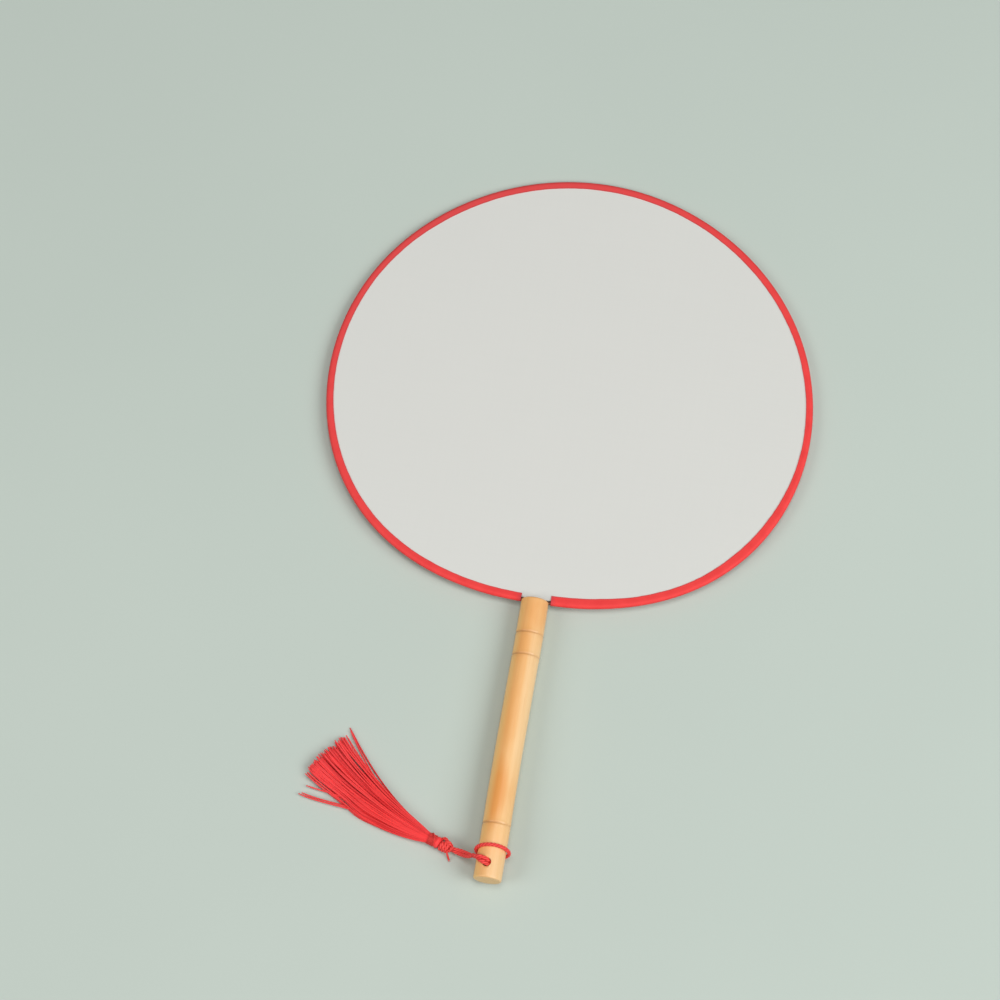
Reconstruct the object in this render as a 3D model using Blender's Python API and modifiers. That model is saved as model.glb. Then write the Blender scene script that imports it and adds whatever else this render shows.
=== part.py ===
"""A round hand fan: a cloth leaf on a wire ring, a bamboo handle and a corded tassel.

The fan lies face up. +Y runs along the handle from its butt to the far rim,
+Z is up out of the leaf's face, and the origin is on the table under the
middle of the fan's length. Lengths are in metres.
"""
import math

import bmesh
import bpy
from mathutils import Matrix, Vector

# Fit between pieces that touch
FIT_GAP = 0.0003
CUT_OVERRUN = 0.002

# Leaf and rim
LEAF_WIDTH = 0.2455
LEAF_HEIGHT = 0.2327
OUTLINE_WAVE_SHARES = (-0.020, -0.024, 0.015, -0.006, 0.003)
CLOTH_THICKNESS = 0.0003
CLOTH_DROP = 0.00015
WIRE_RADIUS = 0.0009
TAPE_THICKNESS = 0.0003
TAPE_WIDTH_FAR = 0.0036
TAPE_WIDTH_NEAR = 0.0043
TAPE_WIDENS_FROM = math.radians(95)
TAPE_WIDENS_TO = math.radians(125)
TAPE_END_GAP = 0.0005
RIM_STATIONS = 80
TAPE_ROUND_STEPS = 5

# Handle
HANDLE_LENGTH = 0.1422
HANDLE_RADIUS = 0.0068
TOP_ROUND = 0.0008
BUTT_ROUND = 0.0008
RIM_SEAT = 0.0017
NODE_PLACE_SHARES = (0.8734, 0.7925, 0.1906)
NODE_RIDGE = 0.00015
NODE_GROOVE = 0.0003
NODE_GROOVE_WIDTH = 0.0009
NODE_RIDGE_WIDTH = 0.0034
HANDLE_SIDES = 40
ROUND_STEPS = 4

# Wire tangs inside the handle
TANG_LENGTH = 0.030
TANG_SPACING = 0.003
TANG_BEND_RADIUS = 0.0024
BEND_STEPS = 5
WEDGE_TAPER = 0.0004

# Hanging cord
CORD_HOLE_PLACE = 0.0074
CORD_HOLE_TURN = math.radians(-14)
STRAND_RADIUS = 0.00085
STRAND_GAP = 0.00045
HITCH_RISE = 0.0083
HITCH_CREST_TURN = math.radians(22)
HITCH_BEND_RADIUS = 0.0012
HITCH_STEPS = 34
DROP_CORD_RADIUS = 0.0015
DROP_CORD_WRAP = math.radians(55)
DROP_CORD_LEAN = 0.0027
DROP_CORD_ROUTE = ((-0.0099, 0.0105, 0.0094), (-0.0128, 0.0116, 0.0063), (-0.0161, 0.0127, 0.0043))
DROP_CORD_STEPS = 22

# Tassel
KNOT_PLACE = Vector((-0.0203, 0.0137))
TASSEL_HEADING = math.radians(162.5)
TABLE_GAP = 0.0001
KNOT_RADIUS = 0.0033
KNOT_LENGTH = 0.0058
KNOT_LOBE = 0.0003
KNOT_LOBES = 5
KNOT_PIVOT_DEPTH = 0.0002
HEAD_RADIUS = 0.0031
HEAD_LENGTH = 0.002
WAIST_RADIUS = 0.0022
WAIST_SPLIT_SHARE = 0.45
BINDING_RADIUS = 0.0003
BINDING_GAP = 0.00042
BINDING_TURNS = 3
BINDING_STEPS = 20
TAIL_RADIUS = 0.0004
TAIL_REACH = 0.0027
TAIL_SPREAD = 0.0021

# Skirt of threads
SKIRT_LENGTH = 0.0665
SKIRT_ROOT_LENGTH = 0.012
SKIRT_WIDTH = 0.0295
SKIRT_HEIGHT = 0.0054
SKIRT_BEND = 0.0133
SKIRT_LIFT = 0.0002
SKIRT_SPREAD_SHARE = 0.78
SKIRT_EDGE_SHARE = 0.65
SKIRT_COLUMNS = 26
SKIRT_LAYERS = 6
SKIRT_SEGMENTS = 4
THREAD_FILL_SHARE = 0.64
THREAD_ROOT_INSET = 0.00007
THREAD_WANDER_SHARE = 0.4
THREAD_LENGTH_WANDER = 0.0016
STRAY_SPREAD = 0.0075

UP = Vector((0, 0, 1))

# Sizes that follow
RIM_ROUND_RADIUS = WIRE_RADIUS + FIT_GAP + TAPE_THICKNESS
LEG_FACE = WIRE_RADIUS + FIT_GAP
CLOTH_FACE = LEG_FACE - FIT_GAP - CLOTH_THICKNESS
SLOT_HALF = WIRE_RADIUS + FIT_GAP
HANDLE_SEAT = HANDLE_RADIUS + FIT_GAP
STRAND_OFFSET = STRAND_RADIUS + STRAND_GAP / 2
CORD_HOLE_RADIUS = STRAND_OFFSET + STRAND_RADIUS + FIT_GAP
BINDING_PITCH = 2 * BINDING_RADIUS + BINDING_GAP
BINDING_LENGTH = BINDING_PITCH * BINDING_TURNS
WAIST_LENGTH = BINDING_LENGTH + 2 * BINDING_RADIUS + FIT_GAP
HEAD_START = KNOT_LENGTH - KNOT_PIVOT_DEPTH + FIT_GAP
WAIST_START = HEAD_START + HEAD_LENGTH
WAIST_END = WAIST_START + WAIST_LENGTH
SKIRT_ROOT_SHARE = SKIRT_ROOT_LENGTH / SKIRT_LENGTH


def unit_rim(angle):
    """The rim's outline before it is scaled; the angle is 0 at the far rim."""
    reach = 1 + sum(share * math.cos((k + 1) * angle) for k, share in enumerate(OUTLINE_WAVE_SHARES))
    return reach * math.sin(angle), reach * math.cos(angle)


SAMPLES = [unit_rim(math.tau * i / 720) for i in range(720)]
RIM_SCALE_X = LEAF_WIDTH / 2 / max(x for x, y in SAMPLES)
RIM_SCALE_Y = LEAF_HEIGHT / (max(y for x, y in SAMPLES) - min(y for x, y in SAMPLES))
RIM_FOOT = HANDLE_LENGTH - RIM_SEAT
RIM_CENTRE = RIM_FOOT - RIM_SCALE_Y * min(y for x, y in SAMPLES)


def rim_point(angle, inset=0.0):
    """A point of the rim's outline, moved inwards by inset, and the inward direction."""
    step = math.tau / 3600
    x, y = unit_rim(angle)
    ahead, behind = unit_rim(angle + step), unit_rim(angle - step)
    along = Vector(((ahead[0] - behind[0]) * RIM_SCALE_X, (ahead[1] - behind[1]) * RIM_SCALE_Y, 0))
    inward = Vector((along.y, -along.x, 0)).normalized()
    return Vector((x * RIM_SCALE_X, RIM_CENTRE + y * RIM_SCALE_Y, 0)) + inward * inset, inward


def rim_angle_at(width, inset):
    """The angle near the handle at which the inset outline is this far to the right."""
    low, high = math.pi * 0.75, math.pi
    for _ in range(40):
        middle = (low + high) / 2
        if rim_point(middle, inset)[0].x > width:
            low = middle
        else:
            high = middle
    return low


def smooth_share(value, low, high):
    share = min(1.0, max(0.0, (value - low) / (high - low)))
    return share * share * (3 - 2 * share)


def material(name, colour, roughness, metallic=0.0):
    new = bpy.data.materials.new(name)
    new.use_nodes = True
    shader = new.node_tree.nodes["Principled BSDF"]
    shader.inputs["Base Color"].default_value = (*colour, 1)
    shader.inputs["Roughness"].default_value = roughness
    shader.inputs["Metallic"].default_value = metallic
    return new


def add_object(name, data, finish, parent=None, collection=None):
    new = bpy.data.objects.new(name, data)
    (collection or PARTS).objects.link(new)
    if finish:
        data.materials.append(finish)
    new.parent = parent
    return new


def mesh_object(name, bm, finish, parent=None, collection=None, smooth=True):
    mesh = bpy.data.meshes.new(name)
    bm.to_mesh(mesh)
    bm.free()
    if smooth:
        mesh.shade_smooth()
        mesh.set_sharp_from_angle(angle=math.radians(35))
    return add_object(name, mesh, finish, parent, collection)


def tube_object(name, points, radius, finish, parent, shares=None):
    """A round tube through points, with a share of the radius at each point."""
    curve = bpy.data.curves.new(name, "CURVE")
    curve.dimensions = "3D"
    curve.bevel_depth = radius
    curve.bevel_resolution = 2
    curve.use_fill_caps = True
    spline = curve.splines.new("POLY")
    spline.points.add(len(points) - 1)
    for i, (place, point) in enumerate(zip(points, spline.points)):
        point.co = (*place, 1)
        point.radius = shares[i] if shares else 1
    return add_object(name, curve, finish, parent)


def cut(target, cutter):
    """Takes the cutter's space out of the target."""
    cutter.hide_render = True
    cutter.display_type = "WIRE"
    cutter.parent = target.parent
    modifier = target.modifiers.new(cutter.name, "BOOLEAN")
    modifier.operation = "DIFFERENCE"
    modifier.solver = "EXACT"
    modifier.object = cutter


def cylinder_cutter(name, radius, length, place, direction, sides=24):
    bm = bmesh.new()
    bmesh.ops.create_cone(
        bm, cap_ends=True, segments=sides, radius1=radius, radius2=radius, depth=length
    )
    cutter = mesh_object(name, bm, None, collection=CUTTERS)
    cutter.location = place
    cutter.rotation_mode = "QUATERNION"
    cutter.rotation_quaternion = UP.rotation_difference(direction)
    return cutter


def box_cutter(name, size, place):
    bm = bmesh.new()
    bmesh.ops.create_cube(bm, size=1)
    bmesh.ops.scale(bm, vec=size, verts=bm.verts)
    cutter = mesh_object(name, bm, None, collection=CUTTERS, smooth=False)
    cutter.location = place
    return cutter


def sphere_cutter(name, radius, place):
    bm = bmesh.new()
    bmesh.ops.create_uvsphere(bm, u_segments=20, v_segments=12, radius=radius)
    cutter = mesh_object(name, bm, None, collection=CUTTERS)
    cutter.location = place
    return cutter


def loft(rings):
    """A closed body through rings that have as many points each."""
    bm = bmesh.new()
    loops = [[bm.verts.new(place) for place in ring] for ring in rings]
    for near, far in zip(loops, loops[1:]):
        for i in range(len(near)):
            j = (i + 1) % len(near)
            bm.faces.new((near[i], near[j], far[j], far[i]))
    bm.faces.new(loops[0])
    bm.faces.new(loops[-1])
    bmesh.ops.recalc_face_normals(bm, faces=bm.faces)
    return bm


def catmull(route, steps):
    """Points spaced evenly along one smooth curve through the route's points."""
    ends = [route[0] * 2 - route[1], *route, route[-1] * 2 - route[-2]]
    dense = []
    for before, start, end, after in zip(ends, ends[1:], ends[2:], ends[3:]):
        for i in range(24):
            t = i / 24
            dense.append(
                (
                    start * 2
                    + (end - before) * t
                    + (before * 2 - start * 5 + end * 4 - after) * t**2
                    + (start * 3 - before - end * 3 + after) * t**3
                )
                / 2
            )
    dense.append(route[-1].copy())
    travelled = [0.0]
    for a, b in zip(dense, dense[1:]):
        travelled.append(travelled[-1] + (b - a).length)
    points, k = [], 0
    for i in range(steps + 1):
        target = travelled[-1] * i / steps
        while k < len(dense) - 2 and travelled[k + 1] < target:
            k += 1
        share = (target - travelled[k]) / (travelled[k + 1] - travelled[k])
        points.append(dense[k].lerp(dense[k + 1], min(1.0, share)))
    return points


def make_handle(parent, finish):
    """A turned length of bamboo: three nodes, a saw slot and bore on top, a cord hole."""
    ridge, groove = HANDLE_RADIUS + NODE_RIDGE, HANDLE_RADIUS - NODE_GROOVE
    profile = [(0.0, HANDLE_LENGTH)]
    for i in range(ROUND_STEPS + 1):
        turn = math.pi / 2 * i / ROUND_STEPS
        profile.append(
            (
                HANDLE_RADIUS - TOP_ROUND * (1 - math.sin(turn)),
                HANDLE_LENGTH - TOP_ROUND * (1 - math.cos(turn)),
            )
        )
    for place_share in NODE_PLACE_SHARES:
        place = HANDLE_LENGTH * place_share
        profile += [
            (HANDLE_RADIUS, place + NODE_RIDGE_WIDTH / 2),
            (ridge, place + NODE_GROOVE_WIDTH),
            (ridge, place + NODE_GROOVE_WIDTH / 2),
            (groove, place),
            (ridge, place - NODE_GROOVE_WIDTH / 2),
            (ridge, place - NODE_GROOVE_WIDTH),
            (HANDLE_RADIUS, place - NODE_RIDGE_WIDTH / 2),
        ]
    for i in range(ROUND_STEPS + 1):
        turn = math.pi / 2 * i / ROUND_STEPS
        profile.append(
            (
                HANDLE_RADIUS - BUTT_ROUND * (1 - math.cos(turn)),
                BUTT_ROUND * (1 - math.sin(turn)),
            )
        )
    profile.append((0.0, 0.0))
    bm = bmesh.new()
    verts = [bm.verts.new((x, 0, z)) for x, z in profile]
    for a, b in zip(verts, verts[1:]):
        bm.edges.new((a, b))
    handle = mesh_object("handle", bm, finish, parent, smooth=False)
    handle.rotation_euler.x = -math.pi / 2
    screw = handle.modifiers.new("turn", "SCREW")
    screw.axis = "Z"
    screw.steps = HANDLE_SIDES
    screw.render_steps = HANDLE_SIDES
    screw.use_merge_vertices = True
    screw.merge_threshold = 0.00001
    screw.use_smooth_shade = True

    wire_y = rim_point(math.pi, RIM_ROUND_RADIUS)[0].y
    slot_floor = wire_y - SLOT_HALF
    slot_size = (
        2 * HANDLE_RADIUS + 2 * CUT_OVERRUN,
        HANDLE_LENGTH + CUT_OVERRUN - slot_floor,
        2 * SLOT_HALF,
    )
    slot_place = Vector((0, slot_floor + slot_size[1] / 2, 0))
    cut(handle, box_cutter("saw_slot", slot_size, slot_place))
    bore_floor = HANDLE_LENGTH - TANG_LENGTH - 2 * FIT_GAP
    bore_length = HANDLE_LENGTH + CUT_OVERRUN - bore_floor
    bore_place = Vector((0, bore_floor + bore_length / 2, 0))
    cut(handle, cylinder_cutter("tang_bore", bore_radius(), bore_length, bore_place, Vector((0, 1, 0))))
    hole_place = Vector((0, CORD_HOLE_PLACE, 0))
    hole_length = 2 * HANDLE_RADIUS + 2 * CUT_OVERRUN
    direction = hole_frame() @ UP
    cut(handle, cylinder_cutter("cord_hole", CORD_HOLE_RADIUS, hole_length, hole_place, direction))
    return handle


def bore_radius():
    """The bore clears the wire where it turns from the slot into a tang."""
    inside = TANG_BEND_RADIUS - WIRE_RADIUS
    turn_centre = TANG_SPACING / 2 + TANG_BEND_RADIUS
    return turn_centre - math.sqrt(inside**2 - (inside - FIT_GAP) ** 2) + FIT_GAP


def make_ring_wire(parent, finish):
    """One wire bent to the oval, its two ends turned down as tangs into the handle."""
    turn_x = TANG_SPACING / 2 + TANG_BEND_RADIUS
    start = rim_angle_at(turn_x, RIM_ROUND_RADIUS)
    rim = []
    for i in range(RIM_STATIONS + 1):
        angle = start * (1 - 2 * i / RIM_STATIONS)
        rim.append(rim_point(angle, RIM_ROUND_RADIUS)[0])
    corner_y = rim[0].y
    tang_end = HANDLE_LENGTH - TANG_LENGTH
    right = [Vector((TANG_SPACING / 2, tang_end, 0))]
    for i in range(BEND_STEPS):
        turn = math.pi / 2 * i / BEND_STEPS
        right.append(
            Vector(
                (
                    turn_x - TANG_BEND_RADIUS * math.cos(turn),
                    corner_y - TANG_BEND_RADIUS * (1 - math.sin(turn)),
                    0,
                )
            )
        )
    left = [Vector((-p.x, p.y, 0)) for p in reversed(right)]
    return tube_object("ring_wire", right + rim + left, WIRE_RADIUS, finish, parent)


def make_wedge(name, side, parent, finish):
    """A half-round bamboo sliver that packs the tangs in the bore."""
    radius = bore_radius() - FIT_GAP
    slot_floor = rim_point(math.pi, RIM_ROUND_RADIUS)[0].y - SLOT_HALF
    length = slot_floor - FIT_GAP - (HANDLE_LENGTH - TANG_LENGTH)
    bm = bmesh.new()
    bmesh.ops.create_cone(
        bm, cap_ends=True, segments=24, radius1=radius, radius2=radius - WEDGE_TAPER, depth=length
    )
    cut_plane = UP * side * SLOT_HALF
    bmesh.ops.rotate(bm, verts=bm.verts, matrix=Matrix.Rotation(math.pi / 2, 3, "X"))
    geometry = bm.verts[:] + bm.edges[:] + bm.faces[:]
    halved = bmesh.ops.bisect_plane(
        bm, geom=geometry, plane_co=cut_plane, plane_no=-UP * side, clear_outer=True
    )
    rim = [item for item in halved["geom_cut"] if isinstance(item, bmesh.types.BMEdge)]
    bmesh.ops.contextual_create(bm, geom=rim)
    bmesh.ops.recalc_face_normals(bm, faces=bm.faces)
    wedge = mesh_object(name, bm, finish, parent)
    wedge.location.y = HANDLE_LENGTH - TANG_LENGTH + length / 2
    return wedge


def make_leaf_layer(name, side, parent, finish):
    """A cloth layer inside the ring: a flat field, and a border drawn down under the tape."""
    edge_face = CLOTH_FACE - CLOTH_DROP
    inset = RIM_ROUND_RADIUS + math.sqrt(WIRE_RADIUS**2 - edge_face**2) + FIT_GAP
    curve = bpy.data.curves.new(name, "CURVE")
    curve.dimensions = "2D"
    curve.fill_mode = "BOTH"
    curve.extrude = CLOTH_THICKNESS / 2
    spline = curve.splines.new("POLY")
    spline.use_cyclic_u = True
    spline.points.add(RIM_STATIONS - 1)
    for i, point in enumerate(spline.points):
        place = rim_point(math.tau * (i + 0.5) / RIM_STATIONS, inset)[0]
        point.co = (*place, 1)
    outline = bpy.data.objects.new(name, curve)
    PARTS.objects.link(outline)
    graph = bpy.context.evaluated_depsgraph_get()
    mesh = bpy.data.meshes.new_from_object(outline.evaluated_get(graph))
    bpy.data.objects.remove(outline)
    bm = bmesh.new()
    bm.from_mesh(mesh)
    bpy.data.meshes.remove(mesh)
    bmesh.ops.remove_doubles(bm, verts=bm.verts, dist=FIT_GAP / 30)
    bmesh.ops.dissolve_limit(bm, angle_limit=math.radians(1), verts=bm.verts, edges=bm.edges)
    fields = [face for face in bm.faces if abs(face.normal.z) > 0.5]
    border = bm.verts[:]
    under_tape = TAPE_WIDTH_NEAR + TAPE_END_GAP - inset
    bmesh.ops.inset_individual(bm, faces=fields, thickness=under_tape, use_even_offset=True)
    bmesh.ops.translate(bm, vec=-UP * side * CLOTH_DROP, verts=border)
    layer = mesh_object(name, bm, finish, parent, smooth=False)
    layer.location.z = side * (CLOTH_FACE + CLOTH_THICKNESS / 2)
    notch_floor = RIM_FOOT - CUT_OVERRUN
    notch_size = (
        2 * HANDLE_SEAT,
        HANDLE_LENGTH + FIT_GAP - notch_floor,
        2 * CUT_OVERRUN + 2 * CLOTH_THICKNESS,
    )
    notch_place = Vector((0, notch_floor + notch_size[1] / 2, layer.location.z))
    cut(layer, box_cutter(name + "_notch", notch_size, notch_place))
    return layer


def make_edge_tape(parent, finish):
    """A folded tape over the rim, from one side of the handle's top round to the other."""
    start = rim_angle_at(HANDLE_RADIUS + TAPE_END_GAP, 0.0)
    rings = []
    for i in range(RIM_STATIONS + 1):
        angle = start * (1 - 2 * i / RIM_STATIONS)
        widened = smooth_share(abs(angle), TAPE_WIDENS_FROM, TAPE_WIDENS_TO)
        width = TAPE_WIDTH_FAR + (TAPE_WIDTH_NEAR - TAPE_WIDTH_FAR) * widened
        edge, inward = rim_point(angle)
        section = [(width, RIM_ROUND_RADIUS)]
        for radius, turns in ((RIM_ROUND_RADIUS, 1), (LEG_FACE, -1)):
            for k in range(TAPE_ROUND_STEPS + 1):
                turn = math.pi / 2 - math.pi * k / TAPE_ROUND_STEPS
                section.append(
                    (
                        RIM_ROUND_RADIUS - radius * math.cos(turn),
                        turns * radius * math.sin(turn),
                    )
                )
            if turns == 1:
                section += [(width, -RIM_ROUND_RADIUS), (width, -LEG_FACE)]
        section.append((width, LEG_FACE))
        rings.append([edge + inward * s + UP * z for s, z in section])
    return mesh_object("edge_tape", loft(rings), finish, parent)


def hole_frame():
    """The cross hole is drilled a little to the left of the leaf's face."""
    return Matrix.Rotation(CORD_HOLE_TURN, 3, "Y")


def hitch_points():
    """The cord's bight: out of the hole at the back, round the handle and in again."""
    seat = HANDLE_SEAT + STRAND_RADIUS
    turn_x = STRAND_OFFSET + HITCH_BEND_RADIUS
    turn_z = -math.sqrt((seat - HITCH_BEND_RADIUS) ** 2 - turn_x**2)
    leave = math.atan2(turn_x, -turn_z)
    mouth = math.sqrt(HANDLE_RADIUS**2 - CORD_HOLE_RADIUS**2)
    leg = []
    for height in (mouth, 0.0, turn_z / 2):
        leg.append(Vector((-STRAND_OFFSET, CORD_HOLE_PLACE, height)))
    for i in range(BEND_STEPS):
        turn = (math.pi / 2 + leave) * i / BEND_STEPS
        across = -turn_x + HITCH_BEND_RADIUS * math.cos(turn)
        leg.append(Vector((across, CORD_HOLE_PLACE, turn_z - HITCH_BEND_RADIUS * math.sin(turn))))
    crest = math.pi + HITCH_CREST_TURN
    ring = []
    for i in range(HITCH_STEPS + 1):
        around = leave + (math.tau - 2 * leave) * i / HITCH_STEPS
        if around < crest:
            climbed = (around - leave) / (crest - leave)
        else:
            climbed = (math.tau - leave - around) / (math.tau - leave - crest)
        risen = HITCH_RISE * math.sin(math.pi / 2 * climbed)
        place = Vector((-math.sin(around), 0, -math.cos(around))) * seat
        place.y = CORD_HOLE_PLACE + risen
        ring.append(place)
    other_leg = [Vector((-p.x, p.y, p.z)) for p in reversed(leg)]
    return [hole_frame() @ p for p in leg + ring + other_leg]


def make_hitch(parent, finish):
    points = hitch_points()
    gap = least_self_gap(points, STRAND_RADIUS, BEND_STEPS + 4)
    print(f"hitch_loop: least gap to itself {gap * 1000:.2f} mm")
    return tube_object("hitch_loop", points, STRAND_RADIUS, finish, parent)


def drop_cord_route(fan, knot):
    """The cord's free stretch: out of the hole, over the handle's flank, down to the knot."""
    seat = HANDLE_SEAT + DROP_CORD_RADIUS
    route = []
    for share in (0, 0.5, 1):
        turn = DROP_CORD_WRAP * share - CORD_HOLE_TURN
        place = Vector((-math.sin(turn), 0, math.cos(turn))) * seat
        place.y = CORD_HOLE_PLACE + DROP_CORD_LEAN * share
        route.append(fan.matrix_world @ place)
    for across, along, height in DROP_CORD_ROUTE:
        route.append(Vector((across, along - REST_LENGTH / 2, height)))
    return route + [knot]


def make_drop_cord(parent, fan, knot, finish):
    """A tube with a ball at each end, the first one over the hole's mouth."""
    points = catmull(drop_cord_route(fan, knot), DROP_CORD_STEPS)
    shares = [1.0] * len(points)
    for end, neighbour in ((0, 1), (-1, -2)):
        outward = (points[end] - points[neighbour]).normalized() * DROP_CORD_RADIUS
        centre = points[end].copy()
        for reach_share in (0.5, 0.8, 0.96):
            tip = centre + outward * reach_share
            points.insert(0 if end == 0 else len(points), tip)
            shares.insert(0 if end == 0 else len(shares), math.sqrt(1 - reach_share**2))
    to_parent = parent.matrix_world.inverted()
    points = [to_parent @ p for p in points]
    return tube_object("drop_cord", points, DROP_CORD_RADIUS, finish, parent, shares)


def lathe(profile, sides=24):
    """A body turned about +X through (place along X, radius) pairs."""
    rings = []
    for place, radius in profile:
        ring = []
        for i in range(sides):
            turn = math.tau * i / sides
            ring.append(Vector((place, radius * math.cos(turn), radius * math.sin(turn))))
        rings.append(ring)
    return loft(rings)


def make_cord_knot(parent, finish):
    """A lobed knot with a socket for the cord's end."""
    bm = bmesh.new()
    bmesh.ops.create_uvsphere(bm, u_segments=24, v_segments=12, radius=KNOT_RADIUS)
    bmesh.ops.rotate(bm, verts=bm.verts, matrix=Matrix.Rotation(math.pi / 2, 3, "Y"))
    for vert in bm.verts:
        around = math.atan2(vert.co.z, vert.co.y)
        along = vert.co.x / KNOT_RADIUS
        lobe = KNOT_LOBE * (math.cos(KNOT_LOBES * around + 3 * along) - 1) / 2
        away = Vector((0, vert.co.y, vert.co.z))
        vert.co += away.normalized() * lobe * (away.length / KNOT_RADIUS)
        vert.co.x *= KNOT_LENGTH / 2 / KNOT_RADIUS
    knot = mesh_object("cord_knot", bm, finish, parent)
    knot.location.x = KNOT_LENGTH / 2 - KNOT_PIVOT_DEPTH
    socket = DROP_CORD_RADIUS + FIT_GAP
    cut(knot, sphere_cutter("knot_socket", socket, Vector()))
    return knot


def make_tassel_head(parent, finish):
    """The threads' folded top, drawn in at the waist under the binding."""
    profile = []
    for share, radius_share in ((0, 0.62), (0.2, 0.88), (0.5, 1), (0.8, 0.95)):
        profile.append((HEAD_START + HEAD_LENGTH * share, HEAD_RADIUS * radius_share))
    for share in (0, WAIST_SPLIT_SHARE):
        profile.append((WAIST_START + WAIST_LENGTH * share, WAIST_RADIUS))
    return mesh_object("tassel_head", lathe(profile, 20), finish, parent)


def binding_points():
    """A helix of thread round the waist."""
    seat = WAIST_RADIUS + FIT_GAP + BINDING_RADIUS
    start = WAIST_START + (WAIST_LENGTH - BINDING_LENGTH) / 2
    points = []
    for i in range(BINDING_STEPS * BINDING_TURNS + 1):
        turn = math.tau * i / BINDING_STEPS
        place = start + BINDING_PITCH * turn / math.tau
        points.append(Vector((place, seat * math.cos(turn), seat * math.sin(turn))))
    return points


def least_self_gap(points, radius, skip):
    """The narrowest gap between stretches of a tube at least skip points apart."""
    return min(
        (points[i] - points[j]).length - 2 * radius
        for i in range(len(points))
        for j in range(i + skip, len(points))
    )


def make_binding(parent, finish):
    points = binding_points()
    gap = least_self_gap(points, BINDING_RADIUS, BINDING_STEPS // 2)
    print(f"neck_binding: least gap to itself {gap * 1000:.2f} mm")
    binding = tube_object("neck_binding", points, BINDING_RADIUS, finish, parent)
    binding.data.bevel_resolution = 1
    return binding


def make_tail(parent, finish):
    """The cord's cut end, which hangs from the knot's mouth to the table."""
    low = TAIL_RADIUS + SKIRT_LIFT - parent.location.z
    start = Vector((KNOT_LENGTH * 0.06, KNOT_RADIUS * 0.6 + FIT_GAP + TAIL_RADIUS, 0))
    route = []
    for reach_share, drop_share in ((0, 0), (0.4, 0.25), (0.75, 0.75), (1, 1)):
        step = Vector((-TAIL_REACH * reach_share, TAIL_SPREAD * reach_share, low * drop_share))
        route.append(start + step)
    return tube_object("knot_tail", catmull(route, 8), TAIL_RADIUS, finish, parent)


def skirt_size(share, u):
    """The skirt's width at a share of its length, and its height there at u across it."""
    waist = 2 * WAIST_RADIUS
    spread = max(0.0, share) ** SKIRT_SPREAD_SHARE
    flattened = 1 - (1 - SKIRT_EDGE_SHARE) * u * u * smooth_share(share, 0, SKIRT_ROOT_SHARE)
    height = waist + (SKIRT_HEIGHT - waist) * max(0.0, share)
    return waist + (SKIRT_WIDTH - waist) * spread, height * flattened


def skirt_place(share, u, v, table):
    """A point of the skirt: share along it, u across and v up through it, each -1 to 1."""
    width, height = skirt_size(share, u)
    loose = smooth_share(share, 0, SKIRT_ROOT_SHARE)
    round_u = u * math.sqrt(1 - v * v / 2)
    round_v = v * math.sqrt(1 - u * u / 2)
    across = (round_u + (u - round_u) * loose) * width / 2
    centred = (round_v + (v - round_v) * loose) * height / 2
    lying = table + SKIRT_LIFT + height * (v + 1) / 2
    aside = across - SKIRT_BEND * share * max(0.0, share)
    strayed = aside - round_u * WAIST_RADIUS
    length = SKIRT_LENGTH * share
    reach = math.copysign(math.sqrt(max(0.0, length**2 - strayed**2)), share)
    return Vector((WAIST_END + reach, aside, centred + (lying - centred) * loose))


def wander(*numbers):
    """A repeatable value from -1 to 1 for a thread."""
    value = math.sin(sum(n * k for n, k in zip(numbers, (12.9898, 78.233, 37.719)))) * 43758.5453
    return 2 * (value - math.floor(value)) - 1


def make_skirt(parent, finish):
    """Rows of separate threads that spring from a packed root under the binding."""
    table = -parent.location.z
    neck_share = -(WAIST_LENGTH * (1 - WAIST_SPLIT_SHARE) - FIT_GAP) / SKIRT_LENGTH
    bm = bmesh.new()
    bmesh.ops.create_grid(bm, x_segments=SKIRT_COLUMNS, y_segments=SKIRT_LAYERS, size=1)
    sheet = bm.faces[:]
    corners = {vert: vert.co.xy for vert in bm.verts}
    centres = [face.calc_center_median().xy for face in sheet]
    rim = [edge for edge in bm.edges if edge.is_boundary]
    for vert, (u, v) in corners.items():
        vert.co = skirt_place(SKIRT_ROOT_SHARE, u, v, table)
    for share in (SKIRT_ROOT_SHARE * 0.6, SKIRT_ROOT_SHARE * 0.25, 0.0, neck_share):
        grown = bmesh.ops.extrude_edge_only(bm, edges=rim)["geom"]
        rim = [item for item in grown if isinstance(item, bmesh.types.BMEdge) and item.is_boundary]
        added = [item for item in grown if isinstance(item, bmesh.types.BMVert)]
        matched = {vert: min(corners, key=lambda c: (c.co - vert.co).length) for vert in added}
        corners = {vert: corners[corner] for vert, corner in matched.items()}
        for vert, (u, v) in corners.items():
            vert.co = skirt_place(share, u, v, table)
    bmesh.ops.contextual_create(bm, geom=rim)
    bmesh.ops.inset_individual(bm, faces=sheet, thickness=THREAD_ROOT_INSET, use_even_offset=True)
    for number, (face, (u, v)) in enumerate(zip(sheet, centres)):
        grow_thread(bm, face, u, v, number, table)
    bmesh.ops.recalc_face_normals(bm, faces=bm.faces)
    return mesh_object("skirt", bm, finish, parent, smooth=False)


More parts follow.
